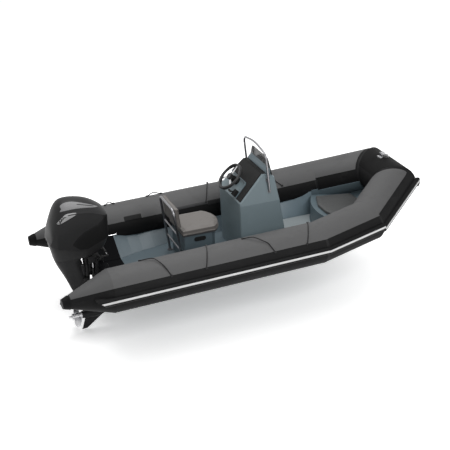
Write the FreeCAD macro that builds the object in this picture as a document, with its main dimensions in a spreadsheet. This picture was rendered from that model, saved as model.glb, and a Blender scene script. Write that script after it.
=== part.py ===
import FreeCAD, Part
import math
import os
from FreeCAD import Placement, Rotation, Vector

# A rigid inflatable boat with a steering console, helm seat and outboard motor.
# +X runs to the bow, +Y to port, +Z up. The origin is on the centreline, at the
# waterline, below the foot of the stern cones. All sizes are in millimetres.

doc = FreeCAD.newDocument("RigidInflatableBoat")
sheet = doc.addObject("Spreadsheet::Sheet", "Dims")

SIZES = {
    # inflatable collar: radius, knuckle points of its centreline, stern cones
    "TubeRadius": 250,
    "StraightStartY": 835,
    "StraightStartZ": 280,
    "ShoulderX": 2551,
    "ShoulderY": 828,
    "ShoulderZ": 342,
    "BowKneeX": 3263,
    "BowKneeY": 704,
    "BowKneeZ": 430,
    "NoseX": 3843,
    "NoseY": 285,
    "NoseZ": 651,
    "ConeLength": 552,
    "ConeTipY": 866,
    "ConeTipZ": 258,
    "ConeTipRadius": 50,
    "ConeCapLength": 75,
    "ConeCapWall": 6,
    "SeatGap": 0.4,
    # wear panels bonded over the collar
    "PanelThickness": 3,
    "PanelInnerAngle": 65,
    "PanelOuterAngle": 58,
    "PanelBowAngle": 48,
    "PanelBowSetback": 30,
    # rubbing strake round the collar
    "StrakeHeight": 92,
    "StrakeDepth": 28,
    "StrakeKneeDepth": 34,
    "StrakeNoseDepth": 44,
    "StrakeTail": 225,
    "StripeHeight": 26,
    "StripeDepth": 3,
    # hull
    "HullSternX": 105,
    "KeelDepth": 195,
    "DeckUnderZ": 65,
    "DeckThickness": 15,
    "LockerFaceX": 2930,
    "LockerFaceBulge": 170,
    "LockerFaceHalf": 500,
    "BowDeckUnderZ": 300,
    "BowDeckThickness": 30,
    "BowDeckEndX": 3770,
    # transom
    "TransomThickness": 45,
    "TransomTopZ": 313,
    "TransomWingZ": 380,
    "TransomWellHalf": 300,
    # side mouldings of the cockpit
    "FloorStartX": 430,
    "FloorHalf": 460,
    "CoamingTopY": 575,
    "CoamingTopZ": 240,
    "WellFloorThickness": 12,
    "WellWall": 8,
    # console
    "ConsoleHalf": 345,
    "ConsoleBrowHalf": 285,
    "ConsoleTaperDrop": 34,
    "ConsoleFootX": 1775,
    "ConsoleKneeX": 1764,
    "ConsoleKneeZ": 788,
    "ConsoleSlopeRun": 319,
    "ConsoleSlopeRise": 314,
    "ConsoleTopDepth": 108,
    "ConsoleTopDrop": 14,
    "ConsoleNoseDepth": 45,
    "ConsoleNoseDrop": 50,
    "ConsoleToeRun": 149,
    "ConsoleEdge": 20,
    "DashThickness": 12,
    "DashArmWidth": 118,
    "DashTopDepth": 200,
    "ScreenThickness": 6,
    "ScreenHalf": 338,
    "ScreenTopHalf": 236,
    "ScreenHeight": 188,
    "ScreenCorner": 60,
    "RailTube": 25,
    "RailHalf": 340,
    "RailSetback": 70,
    "RailFootZ": 870,
    "RailTopZ": 1358,
    "RailCrown": 54,
    "RailCorner": 85,
    "RailLean": 44,
    # steering wheel
    "WheelRadius": 178,
    "WheelRim": 13,
    "WheelX": 1803,
    "WheelY": 50,
    "WheelZ": 990,
    "WheelTilt": 49,
    "WheelTurn": 540,
    # helm seat
    "PodLength": 445,
    "PodHalf": 235,
    "PodAftX": 1092,
    "PodTopZ": 455,
    "CushionAftX": 1066,
    "CushionFrontX": 1592,
    "CushionHalf": 256,
    "CushionThickness": 68,
    "LidThickness": 10,
    "HoopTube": 30,
    "HoopHalf": 250,
    "HoopFootX": 1080,
    "HoopTopX": 990,
    "HoopTopZ": 838,
    "BackPadThickness": 52,
    "BackPadHeight": 262,
    # bow pad
    "BowPadThickness": 42,
    "BowPadAftX": 2992,
    "BowPadFrontX": 3552,
    "BowRiseZ": 436,
    # outboard motor
    "TiltX": 72,
    "TiltZ": 352,
    "SteerX": -62,
    "PropAxisZ": -420,
    "PropRadius": 165,
    "PropX": -232,
    "HubRadius": 42,
    "HubLength": 118,
    "GearcaseRadius": 52,
    "VentPlateZ": -225,
    "CowlAftX": -486,
    "CowlFrontX": 216,
    "CowlHalf": 210,
    "CowlCorner": 92,
    "BracketHalf": 130,
    "BracketPlate": 18,
    "RunningGap": 6,
}

for row, (alias, number) in enumerate(SIZES.items(), start=1):
    sheet.set("A%d" % row, alias)
    sheet.set("B%d" % row, str(number))
    sheet.setAlias("B%d" % row, alias)
doc.recompute()


def dim(alias):
    return float(sheet.get(alias))


nodes = []


def keep(obj):
    nodes.append(obj)
    return obj


def feature(label, shape):
    """A sub-part whose shape is worked out from the sheet."""
    obj = doc.addObject("Part::Feature", label)
    obj.Label = label
    obj.Shape = shape
    return keep(obj)


def one_solid(shape):
    """The largest solid of a cut, without the slivers that a cut can leave."""
    return max(shape.Solids, key=lambda solid: solid.Volume)


def mirrored(shape):
    return shape.mirror(Vector(0, 0, 0), Vector(0, 1, 0))


def box_between(low, high):
    size = high - low
    return Part.makeBox(size.x, size.y, size.z, low)


def prism(points, direction):
    wire = Part.makePolygon(points + [points[0]])
    return Part.Face(wire).extrude(direction)


SIDES = (-1, 1)  # starboard, port

# Collar centreline. A knuckle is mitred on the plane that halves its angle.

R = dim("TubeRadius")
GAP = dim("SeatGap")
LONG = 3000


def on_side(x, y, z, side):
    return Vector(x, side * y, z)


def knuckles(side):
    """Centreline points of one side, from the cone's foot to the far nose corner."""
    return [
        on_side(0, dim("StraightStartY"), dim("StraightStartZ"), side),
        on_side(dim("ShoulderX"), dim("ShoulderY"), dim("ShoulderZ"), side),
        on_side(dim("BowKneeX"), dim("BowKneeY"), dim("BowKneeZ"), side),
        on_side(dim("NoseX"), dim("NoseY"), dim("NoseZ"), side),
        on_side(dim("NoseX"), dim("NoseY"), dim("NoseZ"), -side),
    ]


def unit(vector):
    return vector * (1 / vector.Length)


def mitre_normal(before, here, after):
    return unit(unit(here - before) + unit(after - here))


def half_space(point, normal):
    """A large block on the side of the plane that the normal points to."""
    size = LONG * 2
    block = Part.makeBox(size, size, size, Vector(-size / 2, -size / 2, 0))
    turn = Rotation(Vector(0, 0, 1), normal)
    block.Placement = Placement(point, turn).multiply(block.Placement)
    return block


def stretch(side, index):
    """Start, end and the two bounding planes of one straight stretch of collar."""
    points = knuckles(side)
    start, end = points[index], points[index + 1]
    start_normal = unit(end - start)
    if index > 0:
        start_normal = mitre_normal(points[index - 1], start, end)
    end_normal = unit(end - start)
    if index < 3:
        end_normal = mitre_normal(start, end, points[index + 2])
    elif index == 3:
        mirror_after = on_side(dim("BowKneeX"), dim("BowKneeY"), dim("BowKneeZ"), -side)
        end_normal = mitre_normal(start, end, mirror_after)
    return start, end, start_normal, end_normal


def trim_to_stretch(shape, side, index, open_start=False):
    start, end, start_normal, end_normal = stretch(side, index)
    trimmed = shape.cut(half_space(end, end_normal))
    if not open_start:
        trimmed = trimmed.cut(half_space(start, start_normal * -1))
    return trimmed


def stretch_frame(side, index):
    """Axis, outward and upward directions of one stretch."""
    start, end, _, _ = stretch(side, index)
    axis = unit(end - start)
    outward = axis.cross(Vector(0, 0, 1)) * -side
    outward = unit(outward)
    upward = unit(axis.cross(outward) * side)
    return axis, outward, upward


OVERRUN = 260


def stretch_cylinder(side, index, radius, extra=OVERRUN):
    start, end, _, _ = stretch(side, index)
    axis = unit(end - start)
    begin = start - axis * (0 if index == 0 else extra)
    length = (end - begin).Length + extra
    return Part.makeCylinder(radius, length, begin, axis)


def circle_wire(centre, normal, radius):
    return Part.Wire(Part.makeCircle(radius, centre, normal))


def cone_tip(side):
    return on_side(-dim("ConeLength"), dim("ConeTipY"), dim("ConeTipZ"), side)


def cone_solid(side, foot_radius, tip_radius):
    foot = knuckles(side)[0]
    foot_axis, _, _ = stretch_frame(side, 0)
    tip = cone_tip(side)
    tip_axis = unit(foot - tip)
    wires = [circle_wire(tip, tip_axis, tip_radius), circle_wire(foot, foot_axis, foot_radius)]
    return Part.makeLoft(wires, True, True)


def side_tube_solid(side, growth=0.0):
    straight = trim_to_stretch(stretch_cylinder(side, 0, R + growth), side, 0, True)
    cone = cone_solid(side, R + growth, dim("ConeTipRadius") + growth)
    return straight.fuse(cone).removeSplitter()


def tube_solid(side, index, growth=0.0):
    if index == 0:
        return side_tube_solid(side, growth)
    return trim_to_stretch(stretch_cylinder(side, index, R + growth), side, index)


TUBE_NAMES = ("side_tubes", "shoulder_tubes", "bow_tubes")
for index, tube_name in enumerate(TUBE_NAMES):
    feature(tube_name, Part.makeCompound([one_solid(tube_solid(side, index)) for side in SIDES]))
feature("nose_tube", one_solid(tube_solid(-1, 3)))


def collar_cutter(growth):
    """The whole collar, grown a little, for cutting the seats of its neighbours."""
    parts = [tube_solid(side, index, growth) for side in SIDES for index in range(3)]
    parts.append(tube_solid(-1, 3, growth))
    return parts


collar = collar_cutter(GAP)


def clear_of_collar(shape):
    for tube in collar:
        shape = shape.cut(tube)
    return one_solid(shape)


# Cone caps: rubber cups over the tips of the stern cones.

def cone_cap(side):
    foot = knuckles(side)[0]
    tip = cone_tip(side)
    axis = unit(foot - tip)
    length = dim("ConeCapLength")
    wall = dim("ConeCapWall")
    slope = (R - dim("ConeTipRadius")) / (foot - tip).Length
    tip_radius = dim("ConeTipRadius") + wall
    start = tip - axis * wall
    outer = Part.makeCone(tip_radius, tip_radius + slope * length, length, start, axis)
    return one_solid(outer.cut(cone_solid(side, R + GAP, dim("ConeTipRadius") + GAP)))


feature("cone_caps", Part.makeCompound([cone_cap(side) for side in SIDES]))


# Wear panels: a thin sheet bonded over the top of each stretch.

def sector_cutter(side, index, inner_angle, outer_angle):
    """A wedge round the stretch's axis that keeps the panel's angles."""
    start, end, _, _ = stretch(side, index)
    axis, outward, upward = stretch_frame(side, index)
    reach = R * 2.2
    steps = 8
    points = [start]
    for step in range(steps + 1):
        angle = math.radians(-inner_angle + (inner_angle + outer_angle) * step / steps)
        points.append(start + upward * (reach * math.cos(angle)) + outward * (reach * math.sin(angle)))
    begin = axis * -(dim("ConeLength") + OVERRUN)
    wedge = prism([point + begin for point in points], axis * (LONG * 2))
    return wedge


def bow_panel_window(side):
    """A block with two rounded corners, standing on the bow tube, that ends its panel."""
    start, end, _, end_normal = stretch(side, 2)
    axis, outward, upward = stretch_frame(side, 2)
    length = (end - start).Length
    inner, outer, corner = -R, R * math.sin(math.radians(dim("PanelBowAngle"))), 60
    setback = dim("PanelBowSetback")
    slant = end_normal.dot(outward) / end_normal.dot(axis)

    def at(along, out):
        return start + axis * along + outward * out - upward * R * 0.2

    def front(out):
        return length - setback - out * slant

    curve = [at(front(outer) - corner, outer), at(front(outer) - corner * 0.3, outer - corner * 0.08),
             at(front(outer - corner * 0.35) - corner * 0.05, outer - corner * 0.35),
             at(front(outer - corner), outer - corner)]
    points = [at(-OVERRUN, inner), at(-OVERRUN, outer)] + curve + [at(front(inner), inner)]
    return prism(points, upward * (R * 2))


def panel_stretch(side, index, outer_angle):
    lift = dim("PanelThickness")
    if index == 0:
        shell = side_tube_solid(side, GAP + lift).cut(side_tube_solid(side, GAP))
        tip = cone_tip(side)
        axis = unit(knuckles(side)[0] - tip)
        shell = shell.cut(half_space(tip + axis * (dim("ConeCapLength") + 12), axis * -1))
    else:
        shell = tube_solid(side, index, GAP + lift).cut(tube_solid(side, index, GAP))
    if index == 2:
        shell = shell.common(bow_panel_window(side))
    return one_solid(shell.common(sector_cutter(side, index, dim("PanelInnerAngle"), outer_angle)))


PANEL_NAMES = (("side_panels", "PanelOuterAngle"), ("shoulder_panels", "PanelBowAngle"),
               ("bow_panels", "PanelBowAngle"))
for index, (panel_name, angle_name) in enumerate(PANEL_NAMES):
    feature(panel_name, Part.makeCompound([panel_stretch(side, index, dim(angle_name)) for side in SIDES]))
feature("nose_panel", panel_stretch(-1, 3, dim("PanelBowAngle")))


# Rubbing strake: a rubber section round the collar's widest line, with a pale stripe.

def strake_depths():
    return [dim(name) for name in ("StrakeDepth", "StrakeDepth", "StrakeKneeDepth", "StrakeNoseDepth",
                                   "StrakeNoseDepth")]


def strake_section(begin, outward, upward, near, far, half_height):
    taper = min(half_height * 0.35, (far - near) * 0.5)
    points = [
        begin + outward * near - upward * half_height,
        begin + outward * (far - taper) - upward * half_height,
        begin + outward * far - upward * (half_height - taper),
        begin + outward * far + upward * (half_height - taper),
        begin + outward * (far - taper) + upward * half_height,
        begin + outward * near + upward * half_height,
    ]
    return Part.makePolygon(points + [points[0]])


def strake_stretch(side, index, near, lift, half_height, tail):
    """One straight run; near and lift are measured from the collar and the strake's face."""
    start, end, _, _ = stretch(side, index)
    axis, outward, upward = stretch_frame(side, index)
    length = (end - start).Length
    depths = strake_depths()
    growth = (depths[index + 1] - depths[index]) / length
    wires = []
    for along in (-(tail if index == 0 else OVERRUN), length + OVERRUN):
        face = R + depths[index] + growth * along
        foot = face + near if lift else near
        wires.append(strake_section(start + axis * along, outward, upward, foot, face + near + lift
                                    if lift else face, half_height))
    return trim_to_stretch(Part.makeLoft(wires, True, True), side, index, index == 0)


STRAKE_RUNS = [(side, index) for side in SIDES for index in range(3)] + [(-1, 3)]


def strake_tail_cutter(side, setback):
    """The strake's stern end is a slanting cut, with its upper edge furthest aft."""
    start = knuckles(side)[0]
    axis, _, upward = stretch_frame(side, 0)
    tip = start - axis * setback + upward * (dim("StrakeHeight") / 2)
    return half_space(tip, unit(axis * -1 - upward * 1.05))


def strake():
    runs = [strake_stretch(side, index, R * 0.7, 0, dim("StrakeHeight") / 2, dim("StrakeTail"))
            for side, index in STRAKE_RUNS]
    whole = runs[0].multiFuse(runs[1:])
    for side in SIDES:
        whole = whole.cut(strake_tail_cutter(side, dim("StrakeTail") - 2))
    return clear_of_collar(whole)


def stripe_run(side, index):
    """One straight run of the stripe, ending a hair short of each mitre."""
    run = strake_stretch(side, index, GAP / 2, dim("StripeDepth"), dim("StripeHeight") / 2,
                         dim("StrakeTail") - 25)
    start, end, start_normal, end_normal = stretch(side, index)
    run = run.cut(half_space(end - end_normal * GAP / 2, end_normal))
    if index == 0:
        return one_solid(run.cut(strake_tail_cutter(side, dim("StrakeTail") - 20)))
    return one_solid(run.cut(half_space(start + start_normal * GAP / 2, start_normal * -1)))


def strake_stripe():
    return Part.makeCompound([stripe_run(side, index) for side, index in STRAKE_RUNS])


feature("rubbing_strake", strake())
feature("strake_stripe", strake_stripe())


# Hull: a deep-V glass-fibre body, closed by the deck. Its stations are given as
# distance from the stern, keel height, chine and sheer, and faired in between.

HULL_STATIONS = (
    (dim("HullSternX"), -dim("KeelDepth"), 600, 10, 700, 100),
    (1300, -dim("KeelDepth"), 600, 12, 700, 105),
    (2200, -dim("KeelDepth") + 10, 590, 30, 700, 125),
    (2700, -145, 550, 56, 670, 150),
    (3090, -88, 484, 58, 590, 240),
    (3300, 20, 430, 190, 500, 300),
    (3550, 135, 330, 300, 400, 345),
    (3800, 300, 110, 375, 200, 440),
)


def faired(column, x):
    """A station value between the given stations, with no overshoot."""
    xs = [station[0] for station in HULL_STATIONS]
    ys = [station[column] for station in HULL_STATIONS]
    slopes = [(b - a) / (q - p) for a, b, p, q in zip(ys, ys[1:], xs, xs[1:])]
    tangents = [slopes[0]]
    for left, right in zip(slopes, slopes[1:]):
        tangents.append(0 if left * right <= 0 else 2 * left * right / (left + right))
    tangents.append(slopes[-1])
    here = max(index for index in range(len(xs) - 1) if xs[index] <= x + 0.01)
    width = xs[here + 1] - xs[here]
    share = (x - xs[here]) / width
    return (ys[here] * (1 + 2 * share) * (1 - share) ** 2
            + tangents[here] * width * share * (1 - share) ** 2
            + ys[here + 1] * share ** 2 * (3 - 2 * share)
            - tangents[here + 1] * width * share ** 2 * (1 - share))


STATION_XS = [dim("HullSternX"), 1300, 2000, 2350, 2600, 2800, 3000, 3090, 3200, 3350, 3500, 3650,
              3800]
UPPER_Z = 800


def hull_section(x, top=None):
    keel_z, chine_y, chine_z, sheer_y, sheer_z = [faired(column, x) for column in range(1, 6)]
    upper = [Vector(x, sheer_y, top), Vector(x, -sheer_y, top)] if top else []
    points = [Vector(x, 0, keel_z), Vector(x, chine_y, chine_z), Vector(x, sheer_y, sheer_z)]
    points += upper + [Vector(x, -sheer_y, sheer_z), Vector(x, -chine_y, chine_z)]
    return Part.makePolygon(points + [points[0]])


hull_body = Part.makeLoft([hull_section(x) for x in STATION_XS], True, True)
hull_envelope = Part.makeLoft([hull_section(x, UPPER_Z) for x in STATION_XS], True, True)


def plan_prism(points, arc_mid, low, high):
    """An outline in plan, closed by one arc between its last and first points."""
    edges = [Part.makeLine(a, b) for a, b in zip(points, points[1:])]
    edges.append(Part.Arc(points[-1], arc_mid, points[0]).toShape())
    face = Part.Face(Part.Wire(edges))
    face.translate(Vector(0, 0, low))
    return face.extrude(Vector(0, 0, high - low))


def cockpit_space(offset, low, high):
    """Everything aft of the bow locker's curved face, above one level."""
    face_x = dim("LockerFaceX") + offset
    edge_x = face_x + dim("LockerFaceBulge")
    half = dim("LockerFaceHalf")
    wide = 1000
    slope = dim("LockerFaceBulge") * 2 / half
    far_x = edge_x + (wide - half) * slope * 0.5
    points = [
        Vector(far_x, wide, 0),
        Vector(-800, wide, 0),
        Vector(-800, -wide, 0),
        Vector(far_x, -wide, 0),
    ]
    corner_starboard = Vector(edge_x, -half, 0)
    corner_port = Vector(edge_x, half, 0)
    outline = [corner_port] + points + [corner_starboard]
    return plan_prism(outline, Vector(face_x, 0, 0), low, high)


LOCKER_WALL = 20
deck_under = dim("DeckUnderZ")
deck_top = deck_under + dim("DeckThickness")
bow_under = dim("BowDeckUnderZ")
bow_top = bow_under + dim("BowDeckThickness")
CLEAR_ABOVE = 700

hull = hull_body.cut(cockpit_space(LOCKER_WALL, deck_under, CLEAR_ABOVE))
hull = hull.cut(box_between(Vector(0, -1200, bow_under), Vector(4500, 1200, CLEAR_ABOVE)))
hull = clear_of_collar(hull)
feature("hull", hull)

# Bow deck: the forward moulding, with a curved aft face. It rises to the nose, and
# its rim laps up the inner face of the bow tubes.

rise_z = dim("BowRiseZ")
RISE_START = dim("BowPadFrontX") + 12
RISE_END = dim("BowDeckEndX") - 30
rise_slope = (rise_z - bow_top) / (RISE_END - RISE_START)
bow_profile = [
    (2500, deck_under), (2500, bow_top), (RISE_START, bow_top),
    (dim("BowDeckEndX") + 30, rise_z + rise_slope * 60), (dim("BowDeckEndX") + 30, deck_under),
]
bow_block = prism([Vector(x, -800, z) for x, z in bow_profile], Vector(0, 1600, 0))
bow_deck = bow_block.cut(cockpit_space(0, deck_under - 10, CLEAR_ABOVE))
bow_inside = box_between(Vector(2400, -900, deck_under - 10), Vector(4500, 900, bow_under))
bow_inside = bow_inside.cut(cockpit_space(LOCKER_WALL, deck_under - 20, CLEAR_ABOVE))
bow_deck = bow_deck.cut(bow_inside).cut(hull)
bow_deck = clear_of_collar(bow_deck.common(hull_envelope))

RIM_THICKNESS = 10
RIM_ANGLES = {1: (93, 150), 2: (103, 150)}


def bow_rim(side, index):
    """The lapping rim on one stretch, kept above the deck and ahead of its aft face."""
    shell = tube_solid(side, index, GAP + RIM_THICKNESS).cut(tube_solid(side, index, GAP))
    shell = shell.common(sector_cutter(side, index, RIM_ANGLES[index][1], -RIM_ANGLES[index][0]))
    shell = shell.common(box_between(Vector(2600, -800, bow_top - 12), Vector(RISE_END, 800, CLEAR_ABOVE)))
    return shell.cut(cockpit_space(0, 0, CLEAR_ABOVE)).cut(tube_solid(-1, 3, GAP))


rims = [bow_rim(side, index) for side in SIDES for index in (1, 2)]
feature("bow_deck", clear_of_collar(bow_deck.multiFuse(rims)))

# Side mouldings: the sloping liner between the floor and the collar. Each section is
# given as distance from the stern, foot, top and height of the top.

LINER_SECTIONS = (
    (dim("FloorStartX"), 268, dim("CoamingTopY"), 266),
    (476, 282, dim("CoamingTopY"), 248),
    (600, 325, dim("CoamingTopY"), 212),
    (749, 367, dim("CoamingTopY"), 199),
    (904, 392, dim("CoamingTopY"), 213),
    (1085, 427, dim("CoamingTopY"), 214),
    (1300, dim("FloorHalf"), dim("CoamingTopY"), 222),
    (1700, dim("FloorHalf"), dim("CoamingTopY"), dim("CoamingTopZ")),
    (2200, dim("FloorHalf"), 572, 244),
    (2550, dim("FloorHalf"), 556, 254),
    (2850, dim("FloorHalf"), 520, 292),
    (2963, dim("FloorHalf"), 513, 325),
    (3050, dim("FloorHalf"), 490, 395),
    (3117, dim("FloorHalf"), 478, 410),
    (3260, dim("FloorHalf"), 468, 412),
)


def liner_wire(side, x, foot_y, top_y, top_z):
    points = [
        on_side(x, foot_y + GAP, deck_under, side),
        on_side(x, foot_y + GAP, deck_top + 2, side),
        on_side(x, top_y, top_z, side),
        on_side(x, 790, top_z, side),
        on_side(x, 790, deck_under, side),
    ]
    return Part.makePolygon(points + [points[0]])


def side_moulding(side):
    body = Part.makeLoft([liner_wire(side, *section) for section in LINER_SECTIONS], True, True)
    body = body.common(cockpit_space(-GAP, deck_under - 10, CLEAR_ABOVE))
    return clear_of_collar(body.common(hull_envelope))


feature("side_mouldings", Part.makeCompound([side_moulding(side) for side in SIDES]))

# Deck: the cockpit floor, as wide as the feet of the side mouldings.

floor_edge = [(x, foot_y) for x, foot_y, _, _ in LINER_SECTIONS]
floor_plan = [Vector(x, y, deck_under) for x, y in floor_edge]
floor_plan += [Vector(x, -y, deck_under) for x, y in reversed(floor_edge)]
deck = prism(floor_plan, Vector(0, 0, deck_top - deck_under))
deck = deck.common(cockpit_space(-GAP, deck_under, deck_top))
feature("deck_floor", one_solid(deck))


# Stern well: the dark moulding between the transom and the deck's aft edge.

def stern_well():
    first = LINER_SECTIONS[0]
    aft_x, fore_x = dim("HullSternX"), first[0] - GAP
    floor_top = deck_under + dim("WellFloorThickness")
    well = box_between(Vector(aft_x, -first[1] - 20, deck_under), Vector(fore_x, first[1] + 20, floor_top))
    for side in SIDES:
        wires = [liner_wire(side, aft_x, first[1], first[2], first[3] + 6),
                 liner_wire(side, fore_x, first[1], first[2], first[3])]
        well = well.fuse(Part.makeLoft(wires, True, True))
    return clear_of_collar(well.common(hull_envelope))


feature("stern_well", stern_well())


# Transom: the flat stern board between the two cones, with a lower well for the motor.

def origin_plane(body, role):
    return next(item for item in body.Origin.OriginFeatures if item.Role == role)


def new_body(label):
    body = doc.addObject("PartDesign::Body", label)
    body.Label = label
    return body


def new_sketch(body, role, name):
    sketch = body.newObject("Sketcher::SketchObject", name)
    sketch.AttachmentSupport = [(origin_plane(body, role), "")]
    sketch.MapMode = "FlatFace"
    return sketch


def draw_outline(sketch, points):
    count = len(points)
    for here in range(count):
        x1, y1 = points[here]
        x2, y2 = points[(here + 1) % count]
        sketch.addGeometry(Part.LineSegment(Vector(x1, y1, 0), Vector(x2, y2, 0)))


def padded_body(label, role, points, length, midplane=False, reverse=False):
    body = new_body(label)
    sketch = new_sketch(body, role, label + "_outline")
    draw_outline(sketch, points)
    pad = body.newObject("PartDesign::Pad", label + "_pad")
    pad.Profile = sketch
    pad.setExpression("Length", length)
    pad.Midplane = midplane
    pad.Reversed = reverse
    doc.recompute()
    return body, pad


stern_keel, chine_y, chine_z, sheer_y, sheer_z = HULL_STATIONS[0][1:]
wing_z = dim("TransomWingZ")
well_z = dim("TransomTopZ")
well_half = dim("TransomWellHalf")
transom_outline = [
    (0, stern_keel),
    (chine_y, chine_z),
    (sheer_y, sheer_z),
    (sheer_y, wing_z),
    (well_half + 60, wing_z),
    (well_half, well_z),
    (-well_half, well_z),
    (-well_half - 60, wing_z),
    (-sheer_y, wing_z),
    (-sheer_y, sheer_z),
    (-chine_y, chine_z),
]
transom_body, _ = padded_body("transom_board", "YZ_Plane", transom_outline, "Dims.TransomThickness")
transom_shape = transom_body.Shape.copy()
transom_shape.translate(Vector(dim("HullSternX") - dim("TransomThickness") - GAP, 0, 0))
doc.removeObject(transom_body.Name)
feature("transom", clear_of_collar(transom_shape))

# Console: a closed glass-fibre moulding with a sloping instrument face.

knee = Vector(dim("ConsoleKneeX"), 0, dim("ConsoleKneeZ"))
brow = knee + Vector(dim("ConsoleSlopeRun"), 0, dim("ConsoleSlopeRise"))
console_front = brow + Vector(dim("ConsoleTopDepth"), 0, -dim("ConsoleTopDrop"))
console_shoulder = console_front + Vector(dim("ConsoleNoseDepth"), 0, -dim("ConsoleNoseDrop"))
console_foot_z = deck_top + GAP
console_outline = [
    (dim("ConsoleFootX"), console_foot_z),
    (knee.x, knee.z),
    (brow.x, brow.z),
    (console_front.x, console_front.z),
    (console_shoulder.x, console_shoulder.z),
    (console_shoulder.x + dim("ConsoleToeRun"), console_foot_z),
]
console, console_pad = padded_body("console", "XZ_Plane", console_outline,
                                   "2 * Dims.ConsoleHalf", midplane=True)

# The two sides lean inwards above the knee.

taper_foot_z = knee.z - dim("ConsoleTaperDrop")
taper_slope = (dim("ConsoleHalf") - dim("ConsoleBrowHalf")) / (brow.z - taper_foot_z)


def console_half(z):
    return dim("ConsoleHalf") - max(0.0, z - taper_foot_z) * taper_slope


console_taper = new_sketch(console, "YZ_Plane", "console_taper_outline")
over_top = brow.z + 60
for side in SIDES:
    draw_outline(console_taper, [
        (side * dim("ConsoleHalf"), taper_foot_z),
        (side * (dim("ConsoleHalf") + 60), taper_foot_z),
        (side * (dim("ConsoleHalf") + 60), over_top),
        (side * console_half(over_top), over_top),
    ])
taper_pocket = console.newObject("PartDesign::Pocket", "console_taper")
taper_pocket.Profile = console_taper
taper_pocket.Type = "ThroughAll"
taper_pocket.Reversed = True
doc.recompute()
if taper_pocket.Shape.Volume >= console_pad.Shape.Volume - 1:
    taper_pocket.Reversed = False
    doc.recompute()


def side_edges(shaped, low_z):
    """Edges between a side and another face, apart from those along the floor."""
    names = []
    for number, edge in enumerate(shaped.Shape.Edges, start=1):
        if edge.BoundBox.ZMax < low_z + 1:
            continue
        owners = [face for face in shaped.Shape.Faces if any(edge.isSame(other) for other in face.Edges)]
        lean = [abs(face.normalAt(0, 0).y) for face in owners]
        if max(lean) > 0.9 and min(lean) < 0.5:
            names.append("Edge%d" % number)
    return names


console_round = console.newObject("PartDesign::Fillet", "console_edges")
console_round.Base = (taper_pocket, side_edges(taper_pocket, console_foot_z))
console_round.setExpression("Radius", "Dims.ConsoleEdge")
doc.recompute()
keep(console)

# The instrument face's own frame: u runs up the slope, v to port, n out of the face.

slope_up = unit(brow - knee)
slope_out = Vector(-slope_up.z, 0, slope_up.x)
slope_length = (brow - knee).Length


def on_slope(u, v, n=0.0):
    return knee + slope_up * u + Vector(0, v, 0) + slope_out * n


def slope_prism(points, near, far):
    return prism([on_slope(u, v, near) for u, v in points], slope_out * (far - near))


def slope_half(u):
    return console_half(knee.z + slope_up.z * u)


# Dash: a dark L-shaped panel, wide at the top and with one arm down the starboard edge.
# A raised lip follows its inner corner.

DASH_MARGIN = 12
DASH_FOOT = 20
LIP_WIDTH = 13
LIP_HEIGHT = 20
dash_top = slope_length - 6
dash_waist = dash_top - dim("DashTopDepth")
arm_foot_v = -slope_half(DASH_FOOT) + DASH_MARGIN + dim("DashArmWidth")
arm_waist_v = -slope_half(dash_waist) + DASH_MARGIN + dim("DashArmWidth")
dash_outline = [
    (DASH_FOOT, DASH_MARGIN - slope_half(DASH_FOOT)),
    (dash_top, DASH_MARGIN - slope_half(dash_top)),
    (dash_top, slope_half(dash_top) - DASH_MARGIN),
    (dash_waist, slope_half(dash_waist) - DASH_MARGIN),
    (dash_waist, arm_waist_v),
    (DASH_FOOT, arm_foot_v),
]
feature("dash_panel", slope_prism(dash_outline, GAP, GAP + dim("DashThickness")))
lip_high = dash_waist - GAP
lip_low = lip_high - LIP_WIDTH
lip_outline = [
    (DASH_FOOT, arm_foot_v + GAP),
    (lip_high - 30, arm_waist_v + GAP),
    (lip_high, arm_waist_v + 30),
    (lip_high, slope_half(lip_high) - DASH_MARGIN),
    (lip_low, slope_half(lip_high) - DASH_MARGIN),
    (lip_low, arm_waist_v + 30 + LIP_WIDTH * 0.4),
    (lip_high - 30 - LIP_WIDTH * 0.4, arm_waist_v + LIP_WIDTH),
    (DASH_FOOT, arm_foot_v + LIP_WIDTH),
]
feature("dash_lip", slope_prism(lip_outline, GAP, LIP_HEIGHT))

# Bent tubes and outlines: straight runs joined by tangent arcs.

def bent_path(points, radii):
    edges = []
    last = points[0]
    for before, corner, after, radius in zip(points, points[1:], points[2:], radii):
        into = unit(corner - before)
        out = unit(after - corner)
        half_turn = math.acos(max(-1.0, min(1.0, into.dot(out)))) / 2
        cut = radius * math.tan(half_turn)
        start = corner - into * cut
        end = corner + out * cut
        bisector = unit(out - into)
        middle = corner + bisector * (radius / math.cos(half_turn) - radius)
        edges.append(Part.makeLine(last, start))
        edges.append(Part.Arc(start, middle, end).toShape())
        last = end
    edges.append(Part.makeLine(last, points[-1]))
    return Part.Wire(edges)


def bent_tube(points, radii, tube_radius):
    path = bent_path(points, radii)
    profile = circle_wire(points[0], points[1] - points[0], tube_radius)
    return path.makePipeShell([profile], True, False)


# Windscreen: a low smoked acrylic sheet on the console's top.


screen_foot = Vector(console_front.x - 9, 0, console_front.z - 6)


def windscreen_solid():
    half, top_half = dim("ScreenHalf"), dim("ScreenTopHalf")
    height, corner = dim("ScreenHeight"), dim("ScreenCorner")
    up = unit(Vector(-0.05, 0, 1))
    outline = [screen_foot + Vector(0, y, 0) + up * h for y, h in
               ((-half, 14), (-top_half, height), (top_half, height), (half, 14))]
    edges = bent_path(outline, [corner, corner]).Edges
    foot = [outline[3], outline[3] - up * 14, outline[0] - up * 14, outline[0]]
    edges += [Part.makeLine(a, b) for a, b in zip(foot, foot[1:])]
    face = Part.Face(Part.Wire(edges))
    clearance = console.Shape.copy()
    clearance.translate(Vector(GAP / 2, 0, GAP / 2))
    return one_solid(face.extrude(Vector(dim("ScreenThickness"), 0, 0)).cut(console.Shape).cut(clearance))


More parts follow.
